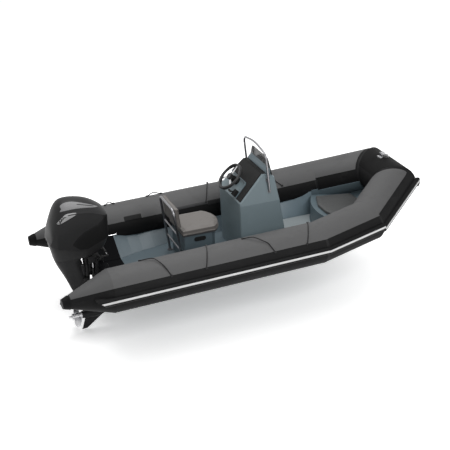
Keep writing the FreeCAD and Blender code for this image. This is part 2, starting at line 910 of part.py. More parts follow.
feature("windscreen", windscreen_solid())


# Console rail: a stainless arch, footed on the console's two sides.

def console_rail():
    half = dim("RailHalf")
    foot_x = brow.x + dim("RailSetback")
    top_x = foot_x - dim("RailLean")
    radius = dim("RailTube") / 2
    points = [
        Vector(foot_x, -half, dim("RailFootZ")),
        Vector(top_x, -half, dim("RailTopZ")),
        Vector(top_x, 0, dim("RailTopZ") + dim("RailCrown")),
        Vector(top_x, half, dim("RailTopZ")),
        Vector(foot_x, half, dim("RailFootZ")),
    ]
    tube = bent_tube(points, [dim("RailCorner"), half * 2.6, dim("RailCorner")], radius)
    for side in SIDES:
        for share in (0.03, 0.3):
            place = points[0] * (1 - share) + points[1] * share
            lean = unit(Vector(0, 1, taper_slope) if share > 0 else Vector(0, 1, 0))
            out = Vector(0, side * lean.y, lean.z)
            wall = Vector(place.x, side * (console_half(place.z) + GAP), place.z)
            boss = Part.makeCylinder(radius * 0.8, half - abs(wall.y), wall, Vector(0, side, 0))
            plate = Part.makeCylinder(radius * 1.8, 5, wall + out * 0.2, out)
            tube = tube.fuse(boss).fuse(plate)
    return one_solid(tube.cut(console.Shape))


feature("console_rail", console_rail())

# Steering column: a tilted boss on the instrument face.

wheel_tilt = math.radians(dim("WheelTilt"))
wheel_axis = Vector(-math.sin(wheel_tilt), 0, math.cos(wheel_tilt))
wheel_up = Vector(math.cos(wheel_tilt), 0, math.sin(wheel_tilt))
wheel_centre = Vector(dim("WheelX"), dim("WheelY"), dim("WheelZ"))
column_length = (wheel_centre - knee).dot(slope_out) - 30
column_reach = 50
column_foot = wheel_centre - wheel_axis * (column_length + column_reach + 14)
column = Part.makeCone(56, 34, column_length + column_reach, column_foot, wheel_axis)
column = column.cut(half_space(on_slope(0, 0, GAP), slope_out * -1))
column = column.cut(slope_prism(dash_outline, GAP, 2 * GAP + dim("DashThickness")))
column = column.cut(slope_prism(lip_outline, GAP, LIP_HEIGHT + GAP))
shaft = Part.makeCylinder(14, 40, wheel_centre - wheel_axis * 30, wheel_axis)
feature("steering_column", one_solid(column.fuse(shaft)))


# Steering wheel: a padded rim on three spokes.

def steering_wheel():
    radius = dim("WheelRadius") - dim("WheelRim")
    rim = Part.makeTorus(radius, dim("WheelRim"), wheel_centre, wheel_axis)
    hub_foot = wheel_centre - wheel_axis * 10
    hub = Part.makeCylinder(38, 34, hub_foot, wheel_axis)
    hub = hub.cut(Part.makeCylinder(14.05, 21, hub_foot - wheel_axis * 1, wheel_axis))
    wheel = rim.fuse(hub)
    for angle in (90, 210, 330):
        turn = math.radians(angle)
        along = wheel_up * math.sin(turn) + Vector(0, 1, 0) * math.cos(turn)
        across = unit(along.cross(wheel_axis))
        root = wheel_centre + along * 30
        tip = wheel_centre + along * radius
        points = [root + across * 16, tip + across * 11, tip - across * 11, root - across * 16]
        spoke = prism([point - wheel_axis * 2 for point in points], wheel_axis * 6)
        wheel = wheel.fuse(spoke)
    return one_solid(wheel)


feature("steering_wheel", steering_wheel())


# Throttle: a binnacle with its lever, beside the wheel.

def throttle():
    base_u = 62
    base_v = arm_foot_v + LIP_WIDTH + 48
    outline = [(base_u - 40, base_v - 30), (base_u + 40, base_v - 30),
               (base_u + 40, base_v + 30), (base_u - 40, base_v + 30)]
    box = slope_prism(outline, GAP, 56)
    along = unit(slope_out - slope_up * 0.25)
    lever_foot = on_slope(base_u, base_v, 46)
    lever = Part.makeCylinder(7, 66, lever_foot, along)
    grip = Part.makeCylinder(13, 52, lever_foot + along * 66 - Vector(0, 26, 0), Vector(0, 1, 0))
    return one_solid(box.fuse(lever).fuse(grip))


feature("throttle_control", throttle())


# Helm seat: pod, hinged lid with its cushion, hoop and back pad.

def rounded_front(aft_x, front_x, half, low, high):
    turn_x = front_x - half * 0.42
    points = [
        Vector(turn_x, half, 0),
        Vector(aft_x, half, 0),
        Vector(aft_x, -half, 0),
        Vector(turn_x, -half, 0),
    ]
    return plan_prism(points, Vector(front_x, 0, 0), low, high)


pod_low = deck_top + GAP
pod_top = dim("PodTopZ")
pod_aft = dim("PodAftX")
pod_front = pod_aft + dim("PodLength")
hinge_x = pod_front + 9
hinge_z = pod_top - 6
HINGE_RADIUS = 6
HINGE_PIN = 2.5


def hinge_knuckle(low_y, high_y, foot_x, foot_z):
    """One barrel of the seat's hinge, with the leaf that joins it to its piece."""
    barrel = Part.makeCylinder(HINGE_RADIUS, high_y - low_y, Vector(hinge_x, low_y, hinge_z), Vector(0, 1, 0))
    low = Vector(min(foot_x, hinge_x), low_y, min(foot_z, hinge_z) - 2)
    high = Vector(max(foot_x, hinge_x), high_y, max(foot_z, hinge_z) + 2)
    return barrel.fuse(box_between(low, high))


seat_pod = rounded_front(pod_aft, pod_front, dim("PodHalf"), pod_low, pod_top)
for low_y, high_y in ((-60, -20), (20, 60)):
    seat_pod = seat_pod.fuse(hinge_knuckle(low_y, high_y, hinge_x - 16, hinge_z))
seat_pod = seat_pod.fuse(Part.makeCylinder(HINGE_PIN, 80, Vector(hinge_x, -40, hinge_z), Vector(0, 1, 0)))
feature("seat_pod", one_solid(seat_pod))

lid_low = pod_top + 1
lid_high = lid_low + dim("LidThickness")
cushion_high = lid_high + dim("CushionThickness")
seat_lid = rounded_front(dim("CushionAftX") + 8, dim("CushionFrontX") - 8,
                         dim("CushionHalf") - 8, lid_low, lid_high)
seat_lid = seat_lid.fuse(hinge_knuckle(-19, 19, hinge_x + 3, lid_low + 2))
seat_lid = seat_lid.cut(Part.makeCylinder(HINGE_PIN + 0.05, 44, Vector(hinge_x, -22, hinge_z), Vector(0, 1, 0)))
feature("seat_lid", one_solid(seat_lid))
feature("seat_cushion", rounded_front(dim("CushionAftX"), dim("CushionFrontX"),
                                      dim("CushionHalf"), lid_high, cushion_high))
print("seat hinge", hinge_x, hinge_z)

# Latch: a dark oval pull on the pod's starboard side.

latch_x = pod_aft + 195
latch_z = pod_top - 58
latch = box_between(Vector(latch_x - 72, -dim("PodHalf") - GAP - 9, latch_z - 26),
                    Vector(latch_x + 72, -dim("PodHalf") - GAP, latch_z + 26))
latch = latch.makeFillet(24, [edge for edge in latch.Edges if edge.BoundBox.YLength > 8])
feature("seat_latch", latch)


def hoop_point(z, y=0.0, forward=0.0):
    share = (z - deck_top) / (dim("HoopTopZ") - deck_top)
    return Vector(dim("HoopFootX") + (dim("HoopTopX") - dim("HoopFootX")) * share + forward, y, z)


def seat_hoop():
    half = dim("HoopHalf")
    radius = dim("HoopTube") / 2
    top = dim("HoopTopZ") - radius
    foot = deck_top + GAP
    back = -radius - 8
    points = [hoop_point(foot, -half, back), hoop_point(top, -half, back),
              hoop_point(top, half, back), hoop_point(foot, half, back)]
    hoop = bent_tube(points, [70, 70], radius)
    hoop = hoop.cut(box_between(Vector(900, -400, foot - 60), Vector(1300, 400, foot)))
    for side in (-1, 1):
        plate = Part.makeCylinder(34, 8, Vector(points[0].x, side * half, foot), Vector(0, 0, 1))
        hoop = hoop.fuse(plate)
    for z in (300, 500):
        place = hoop_point(z, -half, back)
        hoop = hoop.fuse(Part.makeCylinder(radius * 0.75, half * 2, place, Vector(0, 1, 0)))
    return one_solid(hoop)


feature("seat_hoop", seat_hoop())

pad_half = dim("HoopHalf") - 12
pad_top = dim("HoopTopZ") - 6
pad_low = pad_top - dim("BackPadHeight")
pad_face = GAP - 8
pad_points = [
    hoop_point(pad_low, -pad_half, pad_face),
    hoop_point(pad_low, -pad_half, pad_face + dim("BackPadThickness")),
    hoop_point(pad_top, -pad_half, pad_face + dim("BackPadThickness")),
    hoop_point(pad_top, -pad_half, pad_face),
]
feature("backrest_pad", prism(pad_points, Vector(0, pad_half * 2, 0)))


# Bow pad: a dark cushion on the forward deck.

def bow_pad():
    aft, front = dim("BowPadAftX"), dim("BowPadFrontX")
    half_plan = [(aft, 110), (aft + 95, 372), (front - 18, 262), (front, 60)]
    plan = half_plan + [(x, -y) for x, y in reversed(half_plan)]
    low = bow_top + GAP
    return prism([Vector(x, y, low) for x, y in plan], Vector(0, 0, dim("BowPadThickness")))


feature("bow_pad", bow_pad())

# Non-skid sheet on the floor, ahead of the console.

console_toe_x = console_shoulder.x + dim("ConsoleToeRun")
nonskid = box_between(Vector(console_toe_x + 15, -dim("FloorHalf") + 12, deck_top + GAP),
                      Vector(3300, dim("FloorHalf") - 12, deck_top + GAP + 3))
nonskid = nonskid.common(cockpit_space(-14, deck_top, CLEAR_ABOVE))
feature("floor_nonskid", one_solid(nonskid))


# Bow roller: a stainless fairlead on top of the nose tube.

def bow_roller():
    top = dim("NoseZ") + R
    x = dim("NoseX") + 8
    base = box_between(Vector(x - 62, -46, top - 40), Vector(x + 62, 46, top + 11))
    for y in (-46, 38):
        cheek = box_between(Vector(x - 30, y, top + 9), Vector(x + 44, y + 8, top + 52))
        base = base.fuse(cheek)
    roller = Part.makeCylinder(19, 76, Vector(x + 10, -38, top + 33), Vector(0, 1, 0))
    base = base.fuse(roller)
    seat = stretch_cylinder(-1, 3, R + GAP + dim("PanelThickness") + 0.3, 0)
    return one_solid(base.cut(seat))


feature("bow_roller", bow_roller())

# Bow eye: a towing eye plate on the stem.

EYE_SETBACK = 200
EYE_HOLE = 12
eye_x = HULL_STATIONS[-1][0] - EYE_SETBACK
stem = Vector(eye_x, 0, faired(1, eye_x))
stem_along = unit(Vector(eye_x + 60, 0, faired(1, eye_x + 60)) - stem)
stem_out = Vector(stem_along.z, 0, -stem_along.x)
eye_centre = stem + stem_out * 27
eye_points = [stem - stem_along * 62 - stem_out * 20, stem - stem_along * 46 + stem_out * 8,
              eye_centre - stem_along * 24 + stem_out * 8, eye_centre - stem_along * 12 + stem_out * 24,
              eye_centre + stem_along * 12 + stem_out * 24, eye_centre + stem_along * 24 + stem_out * 8,
              stem + stem_along * 46 + stem_out * 8, stem + stem_along * 62 - stem_out * 20]
eye = prism([point - Vector(0, 6, 0) for point in eye_points], Vector(0, 12, 0))
eye = eye.cut(Part.makeCylinder(EYE_HOLE, 20, eye_centre - Vector(0, 10, 0), Vector(0, 1, 0)))
feature("bow_eye", one_solid(eye.cut(hull_body)))
print("bow eye", [round(value, 3) for value in eye_centre])

# Stern eyes: two towing eyes on the transom's aft face.

transom_aft = dim("HullSternX") - dim("TransomThickness") - GAP
transom_fore = dim("HullSternX") - GAP
STERN_EYE_Y = 470
STERN_EYE_Z = 60


def stern_eye(side):
    face = transom_aft - GAP
    y, z = side * STERN_EYE_Y, STERN_EYE_Z
    plate = box_between(Vector(face - 6, y - 30, z - 30), Vector(face, y + 30, z + 30))
    ear = box_between(Vector(face - 44, y - 20, z - 6), Vector(face - 3, y + 20, z + 6))
    tip = Part.makeCylinder(20, 12, Vector(face - 44, y, z - 6), Vector(0, 0, 1))
    hole = Part.makeCylinder(EYE_HOLE, 20, Vector(face - 40, y, z - 10), Vector(0, 0, 1))
    return one_solid(plate.fuse(ear).fuse(tip).cut(hole))


feature("stern_eyes", Part.makeCompound([stern_eye(side) for side in SIDES]))
print("stern eye", round(transom_aft - GAP - 40, 3))


# Grab ropes: each is one arc over a tube, from the inner to the outer side.

def on_tube(side, index, along, angle, radius):
    start, end, _, _ = stretch(side, index)
    axis, outward, upward = stretch_frame(side, index)
    turn = math.radians(angle)
    return start + axis * along + outward * (radius * math.sin(turn)) + upward * (radius * math.cos(turn))


ROPE_RADIUS = 6
rope_seat = R + GAP + dim("PanelThickness") + ROPE_RADIUS + 0.5


def rope_stations(knots):
    """Along, angle and lift at even steps between the knots."""
    shares = [index / (len(knots) - 1) for index in range(len(knots))]
    count = 3 * len(knots) + 1
    stations = []
    for step in range(count + 1):
        share = step / count
        here = min(len(knots) - 2, int(share * (len(knots) - 1)))
        part = (share - shares[here]) * (len(knots) - 1)
        ease = part * part * (3 - 2 * part)
        a, b = knots[here], knots[here + 1]
        stations.append((a[0] + (b[0] - a[0]) * part, a[1] + (b[1] - a[1]) * part,
                         a[2] + (b[2] - a[2]) * ease))
    return stations


def grab_rope(side, index, knots):
    """A rope through knots, each given as along, angle and lift on one stretch."""
    points = [on_tube(side, index, along, angle, rope_seat + lift) for along, angle, lift in rope_stations(knots)]
    curve = Part.BSplineCurve()
    curve.interpolate(points)
    path = Part.Wire(curve.toShape())
    tangent = curve.tangent(curve.FirstParameter)[0]
    rope = path.makePipeShell([circle_wire(points[0], tangent, ROPE_RADIUS)], True, False)
    for along, angle, lift in (knots[0], knots[-1]):
        place = on_tube(side, index, along, angle, rope_seat)
        _, outward, upward = stretch_frame(side, index)
        turn = math.radians(angle)
        out = outward * math.sin(turn) + upward * math.cos(turn)
        height = ROPE_RADIUS * 2 + 2 + lift
        rope = rope.fuse(Part.makeCylinder(ROPE_KNOB, height, place - out * (ROPE_RADIUS + 0.2), out))
    return rope


ROPE_KNOB = 13
ROPES = (
    (-1, 0, ((390, -20, 0), (530, 0, 20), (597, 25, 8), (660, 59, 0))),
    (-1, 0, ((1218, -42, 0), (1150, 10, 1), (1071, 60, 0))),
    (-1, 0, ((1612, -7, 0), (1724, 10, 28), (1854, 32, 6), (1907, 60, 0))),
    (-1, 0, ((2500, -40, 0), (2410, 10, 1), (2314, 58, 0))),
    (1, 0, ((440, 6, 0), (495, 10, 24), (550, 6, 0))),
    (1, 0, ((990, 10, 0), (1084, 14, 26), (1178, 10, 0))),
    (1, 0, ((1818, 18, 8), (1750, -20, 1), (1677, -60, 0))),
    (1, 1, ((139, -40, 0), (180, -50, 0), (220, -60, 0))),
)
ropes = []
for side, index, knots in ROPES:
    skin = tube_solid(side, index, GAP + dim("PanelThickness") + 0.3)
    ropes.append(one_solid(grab_rope(side, index, knots).cut(skin)))
feature("grab_ropes", Part.makeCompound(ropes))


# Outboard motor. The clamp bracket hooks over the transom; the swivel bracket tilts
# on the cross pin; the motor steers on the swivel's upright tube.

tilt_axis = Vector(dim("TiltX"), 0, dim("TiltZ"))
gap = dim("RunningGap")
bracket_half = dim("BracketHalf")
bracket_wall = dim("BracketPlate")


def xz_plate(points, y, width):
    return prism([Vector(x, y, z) for x, z in points], Vector(0, width, 0))


BRACKET_LOW = 12
BRACKET_BACK = 8
RAM_FOOT = Vector(transom_aft - 36, 0, 40)
RAM_EYE = tilt_axis + Vector(-54, 0, -26)
RAM_FOOT_PIN = 10
PUMP_AXIS = Vector(-14, 72, 0)


def clamp_bracket():
    aft = transom_aft - GAP
    fore = transom_fore + 16
    side_plate = [
        (aft, BRACKET_LOW), (aft, well_z + 1), (fore, well_z + 1), (fore + 4, well_z + 22),
        (tilt_axis.x + 27, tilt_axis.z + 4), (tilt_axis.x + 18, tilt_axis.z + 22),
        (tilt_axis.x - 14, tilt_axis.z + 24), (tilt_axis.x - 44, tilt_axis.z - 10),
        (aft - 40, 230), (aft - 52, 90), (aft - 50, 26), (aft - 34, BRACKET_LOW),
    ]
    bracket = box_between(Vector(aft - BRACKET_BACK, -bracket_half, BRACKET_LOW),
                          Vector(aft, bracket_half, well_z - 14))
    for side in SIDES:
        y = side * bracket_half - (bracket_wall if side > 0 else 0)
        plate = xz_plate(side_plate, y, bracket_wall)
        jaw = box_between(Vector(transom_fore + 2 * GAP, y - 14, well_z - 110),
                          Vector(fore, y + bracket_wall + 14, well_z + 8))
        boss = Part.makeCylinder(24, 26, Vector(tilt_axis.x, side * bracket_half, tilt_axis.z), Vector(0, side, 0))
        bracket = bracket.fuse(plate).fuse(jaw).fuse(boss)
    pin = Part.makeCylinder(12, bracket_half * 2, Vector(tilt_axis.x, -bracket_half, tilt_axis.z), Vector(0, 1, 0))
    rod = Part.makeCylinder(RAM_FOOT_PIN, bracket_half * 2, Vector(RAM_FOOT.x, -bracket_half, RAM_FOOT.z),
                            Vector(0, 1, 0))
    pump = Part.makeCylinder(30, 150, Vector(PUMP_AXIS.x, PUMP_AXIS.y, 62), Vector(0, 0, 1))
    pump = pump.fuse(Part.makeCylinder(24, 34, Vector(PUMP_AXIS.x, PUMP_AXIS.y, 206), Vector(0, 0, 1)))
    pump_foot = box_between(Vector(PUMP_AXIS.x - 22, PUMP_AXIS.y, 70),
                            Vector(PUMP_AXIS.x + 40, bracket_half - bracket_wall / 2, 200))
    return one_solid(bracket.fuse(pin).fuse(rod).fuse(pump).fuse(pump_foot))


feature("clamp_bracket", clamp_bracket())

swivel_half = bracket_half - bracket_wall - gap
steer_x = dim("SteerX")
SWIVEL_TOP = 372
SWIVEL_LOW = 100
STEER_TUBE = 36
STEER_SHAFT = 18
NOTCH_HALF = 27


def swivel_bracket():
    tube = Part.makeCylinder(STEER_TUBE, SWIVEL_TOP - SWIVEL_LOW, Vector(steer_x, 0, SWIVEL_LOW), Vector(0, 0, 1))
    eye = Part.makeCylinder(22, swivel_half * 2, Vector(tilt_axis.x, -swivel_half, tilt_axis.z), Vector(0, 1, 0))
    arm_points = [(tilt_axis.x, tilt_axis.z + 20), (steer_x + 4, SWIVEL_TOP), (steer_x + 10, SWIVEL_TOP - 90),
                  (RAM_EYE.x + 6, RAM_EYE.z - 34), (tilt_axis.x, tilt_axis.z - 20)]
    arm = xz_plate(arm_points, -swivel_half, swivel_half * 2)
    notch = box_between(Vector(RAM_EYE.x - 32, -NOTCH_HALF, 200), Vector(RAM_EYE.x + 36, NOTCH_HALF, RAM_EYE.z + 30))
    web_points = [(steer_x, SWIVEL_TOP - 60), (RAM_EYE.x - 32, SWIVEL_TOP - 60), (steer_x + 44, SWIVEL_LOW + 60),
                  (steer_x + 20, SWIVEL_LOW)]
    web = xz_plate(web_points, -22, 44)
    body = tube.fuse(arm).fuse(web).cut(notch).fuse(eye)
    for side in SIDES:
        face = Vector(RAM_EYE.x, side * (swivel_half - 1), RAM_EYE.z)
        body = body.fuse(Part.makeCylinder(14, 4, face, Vector(0, side, 0)))
    bore = Part.makeCylinder(12.05, swivel_half * 2 + 2, Vector(tilt_axis.x, -swivel_half - 1, tilt_axis.z),
                             Vector(0, 1, 0))
    steer_bore = Part.makeCylinder(STEER_SHAFT + 0.05, 400, Vector(steer_x, 0, 60), Vector(0, 0, 1))
    return one_solid(body.cut(bore).cut(steer_bore))


feature("swivel_bracket", swivel_bracket())

# Tilt ram: the cylinder swings on the clamp bracket's cross rod. Its bright rod ends
# in an eye with a short pin, between the swivel bracket's two lugs.

ram_axis = unit(RAM_EYE - RAM_FOOT)
ram_span = (RAM_EYE - RAM_FOOT).Length
RAM_BODY = 128
RAM_ROD = 9
RAM_ROD_START = 20


def ram_cylinder():
    barrel = Part.makeCylinder(20, RAM_BODY - 12, RAM_FOOT + ram_axis * 12, ram_axis)
    gland = Part.makeCylinder(21, 14, RAM_FOOT + ram_axis * (RAM_BODY - 14), ram_axis)
    eye = Part.makeCylinder(19, 44, RAM_FOOT - Vector(0, 22, 0), Vector(0, 1, 0))
    body = barrel.fuse(gland).fuse(eye)
    body = body.cut(Part.makeCylinder(RAM_FOOT_PIN + 0.05, 60, RAM_FOOT - Vector(0, 30, 0), Vector(0, 1, 0)))
    return one_solid(body.cut(Part.makeCylinder(RAM_ROD + 0.05, 200, RAM_FOOT + ram_axis * (RAM_ROD_START - 2),
                                                ram_axis)))


def ram_rod():
    rod = Part.makeCylinder(RAM_ROD, ram_span - RAM_ROD_START, RAM_FOOT + ram_axis * RAM_ROD_START, ram_axis)
    eye = Part.makeCylinder(17, 30, RAM_EYE - Vector(0, 15, 0), Vector(0, 1, 0))
    pin = Part.makeCylinder(8, NOTCH_HALF * 2 - 4, RAM_EYE - Vector(0, NOTCH_HALF - 2, 0), Vector(0, 1, 0))
    return one_solid(rod.fuse(eye).fuse(pin))


feature("tilt_ram_cylinder", ram_cylinder())
feature("tilt_ram_rod", ram_rod())
print("ram", [round(value, 4) for value in ram_axis], round(ram_span, 2))


def ring_loft(rings):
    """A closed body through rounded plan rings: (z, aft x, front x, half width)."""
    wires = []
    for z, aft, front, half in rings:
        middle = (aft + front) / 2
        points = []
        count = 16
        for step in range(count):
            turn = 2 * math.pi * step / count
            wide = math.copysign(abs(math.sin(turn)) ** 0.66, math.sin(turn))
            deep = math.copysign(abs(math.cos(turn)) ** 0.66, math.cos(turn))
            points.append(Vector(middle + (front - aft) / 2 * deep, half * wide, z))
        curve = Part.BSplineCurve()
        curve.interpolate(Points=points, PeriodicFlag=True)
        wires.append(Part.Wire(curve.toShape()))
    return Part.makeLoft(wires, True, False)


# Cowl: a rounded block in plan, cut to its side outline and to its front outline,
# whose crown and shoulder lines rise a little towards the bow.

cowl_half = dim("CowlHalf")
cowl_aft = dim("CowlAftX")
cowl_front = dim("CowlFrontX")
COWL_SEAM = ((cowl_aft - 60, 640), (cowl_aft, 622), (-400, 592), (-156, 523), (-60, 520), (110, 590),
             (cowl_front - 20, 632), (cowl_front + 60, 640))
# stations of the arched top: (x, height of the shoulder line, height of the crown)
COWL_STATIONS = (
    (-500, 500, 560), (-474, 610, 700), (-452, 680, 820), (-430, 735, 896), (-403, 805, 966),
    (-359, 905, 1050), (-312, 958, 1098), (-247, 984, 1115), (-155, 990, 1110), (-64, 981, 1092),
    (24, 963, 1059), (89, 941, 1020), (152, 914, 972), (201, 884, 924), (232, 850, 876), (262, 790, 800),
)
COWL_ARCH = 0.85


def spline_edge(points):
    curve = Part.BSplineCurve()
    curve.interpolate(points)
    return curve.toShape()


def cowl_block():
    corner = dim("CowlCorner")
    plan = box_between(Vector(cowl_aft, -cowl_half, 400), Vector(cowl_front, cowl_half, 1300))
    return plan.makeFillet(corner, [edge for edge in plan.Edges if edge.BoundBox.ZLength > 500])


def cowl_side_outline():
    """The aft and front faces and the lower edge, seen from the side."""
    points = [Vector(x, -400, z) for x, z in COWL_SEAM[1:-1]]
    points += [Vector(cowl_front, -400, 1300), Vector(cowl_aft, -400, 1300)]
    return prism(points, Vector(0, 800, 0))


def cowl_arch(x, shoulder, crown):
    """One section: an arch from shoulder to shoulder over two upright sides."""
    wide = cowl_half + 1
    points = []
    for step in range(-6, 7):
        share = step / 6
        points.append(Vector(x, wide * share, shoulder + (crown - shoulder) * (1 - share * share) ** COWL_ARCH))
    foot = [points[-1], Vector(x, wide, 300), Vector(x, -wide, 300), points[0]]
    edges = [spline_edge(points)] + [Part.makeLine(a, b) for a, b in zip(foot, foot[1:])]
    return Part.Wire(edges)


def cowl_top():
    return Part.makeLoft([cowl_arch(x, shoulder, crown) for x, shoulder, crown in COWL_STATIONS], True, False)


cowl = cowl_block().common(cowl_top()).common(cowl_side_outline())
feature("cowl", one_solid(cowl))


def above_seam(lift):
    """Everything above the cowl's lower edge, for trimming the leg to it."""
    points = [Vector(x, -400, z - lift) for x, z in COWL_SEAM]
    points += [Vector(COWL_SEAM[-1][0], -400, 1400), Vector(COWL_SEAM[0][0], -400, 1400)]
    return prism(points, Vector(0, 800, 0))


# Leg: the broad midsection under the cowl, with the tray that carries it.

LEG_RINGS = (
    (-150, -214, -104, 38),
    (0, -280, -104, 60),
    (200, -362, -106, 92),
    (372, -430, -110, 140),
    (410, -432, -62, 146),
)
LEG_FOOT_RINGS = (
    (-150, -205, -64, 34),
    (0, -250, -34, 54),
    (86, -280, -28, 62),
)
TRAY_RINGS = (
    (400, -440, 20, cowl_half * 0.74),
    (470, -452, 150, cowl_half * 0.9),
    (540, -468, cowl_front - 20, cowl_half * 0.965),
    (660, -500, cowl_front - 14, cowl_half * 0.975),
)


def leg_housing():
    room = Part.makeCylinder(STEER_TUBE + 6, SWIVEL_TOP - SWIVEL_LOW + 3, Vector(steer_x, 0, SWIVEL_LOW - 2),
                             Vector(0, 0, 1))
    leg = ring_loft(LEG_RINGS).cut(room)
    foot = ring_loft(LEG_FOOT_RINGS).cut(room)
    tray = ring_loft(TRAY_RINGS)
    shaft = Part.makeCylinder(STEER_SHAFT, 360, Vector(steer_x, 0, 60), Vector(0, 0, 1))
    upper_mount = Part.makeCylinder(40, 60, Vector(steer_x, 0, SWIVEL_TOP + 2), Vector(0, 0, 1))
    lower_mount = Part.makeCylinder(32, SWIVEL_LOW - 62, Vector(steer_x, 0, 60), Vector(0, 0, 1))
    body = leg.fuse(foot).fuse(tray).fuse(shaft).fuse(upper_mount).fuse(lower_mount)
    return one_solid(body.cut(above_seam(0.0)))


feature("leg_housing", leg_housing())

prop_z = dim("PropAxisZ")
vent_z = dim("VentPlateZ")


PROP_SHAFT = 10


def lower_unit():
    case_radius = dim("GearcaseRadius")
    hub_front = dim("PropX") + dim("HubLength") / 2 + 1
    bullet = [
        (hub_front, 0), (hub_front, case_radius * 0.84), (-60, case_radius), (30, case_radius * 0.94),
        (90, case_radius * 0.66), (126, case_radius * 0.22), (130, 0),
    ]
    profile = Part.BSplineCurve()
    profile.interpolate([Vector(x, 0, prop_z + r) for x, r in bullet[1:]])
    edges = [profile.toShape(),
             Part.makeLine(Vector(130, 0, prop_z), Vector(hub_front, 0, prop_z)),
             Part.makeLine(Vector(hub_front, 0, prop_z), Vector(hub_front, 0, prop_z + case_radius * 0.84))]
    case = Part.Face(Part.Wire(edges)).revolve(Vector(0, 0, prop_z), Vector(1, 0, 0), 360)
    strut = ring_loft((
        (prop_z + 12, -150, 96, 22),
        (prop_z + 110, -168, 34, 20),
        (vent_z, -190, -20, 24),
        (-150, -207, -70, 35),
    ))
    skeg_points = [(-128, prop_z - 30), (-176, -606), (-184, -614), (-120, -609), (100, prop_z - 24), (96, prop_z - 6)]
    skeg = xz_plate(skeg_points, -7, 14)
    plate = Part.makeCylinder(88, 9, Vector(-150, 0, vent_z), Vector(0, 0, 1))
    plate = plate.fuse(box_between(Vector(-330, -88, vent_z), Vector(-150, 88, vent_z + 9)))
    plate = plate.fuse(Part.makeCylinder(88, 9, Vector(-330, 0, vent_z), Vector(0, 0, 1)))
    prop_shaft = Part.makeCylinder(PROP_SHAFT, 150, Vector(hub_front - 140, 0, prop_z), Vector(1, 0, 0))
    unit_body = case.fuse(strut).fuse(skeg).fuse(plate).fuse(prop_shaft)
    return one_solid(unit_body)


feature("lower_unit", lower_unit())


# Propeller: three swept blades on a hub.

def propeller():
    hub_radius = dim("HubRadius")
    length = dim("HubLength")
    aft = dim("PropX") - length / 2
    hub = Part.makeCone(hub_radius * 0.86, hub_radius, length, Vector(aft, 0, prop_z), Vector(1, 0, 0))
    tail = Part.makeCylinder(13, 34, Vector(aft - 34, 0, prop_z), Vector(1, 0, 0))
    body = hub.fuse(tail)
    bore = Part.makeCylinder(PROP_SHAFT + 0.05, length + 22, Vector(aft - 22, 0, prop_z), Vector(1, 0, 0))
    tip_radius = dim("PropRadius")
    for number in range(3):
        wires = []
        for share, chord, pitch, thick in ((0.16, 82, 58, 9), (0.45, 112, 44, 7), (0.75, 108, 34, 5), (1.0, 52, 28, 2.5)):
            radius = tip_radius * share
            angle = math.radians(pitch)
            along = Vector(math.sin(angle), math.cos(angle), 0)
            across = Vector(-math.cos(angle), math.sin(angle), 0)
            centre = Vector(dim("PropX") - 10 * share, 26 * (share - 0.16), radius)
            corners = [centre - along * chord / 2, centre + across * thick / 2,
                       centre + along * chord / 2, centre - across * thick / 2]
            wires.append(Part.makePolygon(corners + [corners[0]]))
        blade = Part.makeLoft(wires, True, False)
        blade.rotate(Vector(0, 0, 0), Vector(1, 0, 0), 120 * number)
        blade.translate(Vector(0, 0, prop_z))
        body = body.fuse(blade)
    return one_solid(body.cut(bore))


feature("propeller", propeller())

# Every sub-part is checked before any file is written.

doc.recompute()
problems = []
for obj in doc.Objects:
    if "Invalid" in obj.State or "Error" in obj.State:
        problems.append("%s is %s" % (obj.Label, obj.State))
for obj in nodes:
    if obj.Shape.isNull() or not obj.Shape.isValid() or not obj.Shape.Solids:
        problems.append("%s has no valid solid" % obj.Label)
if problems:
    raise RuntimeError("; ".join(problems))

os.makedirs("parts", exist_ok=True)
for obj in nodes:
    obj.Shape.exportStep("parts/%s.step" % obj.Label)
    print(obj.Label, len(obj.Shape.Solids), round(obj.Shape.Volume / 1000))
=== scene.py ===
import bpy
import bmesh
import math
from mathutils import Matrix, Quaternion, Vector
from mathutils.bvhtree import BVHTree


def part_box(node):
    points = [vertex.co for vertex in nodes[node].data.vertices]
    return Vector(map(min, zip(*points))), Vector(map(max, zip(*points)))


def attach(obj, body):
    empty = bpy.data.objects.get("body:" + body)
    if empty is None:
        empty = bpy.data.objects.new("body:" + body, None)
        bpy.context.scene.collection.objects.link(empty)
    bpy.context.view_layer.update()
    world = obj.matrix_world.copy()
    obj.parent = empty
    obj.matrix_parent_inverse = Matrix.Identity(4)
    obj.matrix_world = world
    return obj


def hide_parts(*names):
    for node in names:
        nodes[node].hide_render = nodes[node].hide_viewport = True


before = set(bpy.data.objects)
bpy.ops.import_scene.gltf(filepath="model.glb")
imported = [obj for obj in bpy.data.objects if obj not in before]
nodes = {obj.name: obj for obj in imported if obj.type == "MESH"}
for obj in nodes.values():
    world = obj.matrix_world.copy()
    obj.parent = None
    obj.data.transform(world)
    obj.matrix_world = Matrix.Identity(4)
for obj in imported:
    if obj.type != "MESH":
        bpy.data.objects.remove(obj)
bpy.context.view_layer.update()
scene = bpy.context.scene
scene.view_settings.view_transform = "Standard"

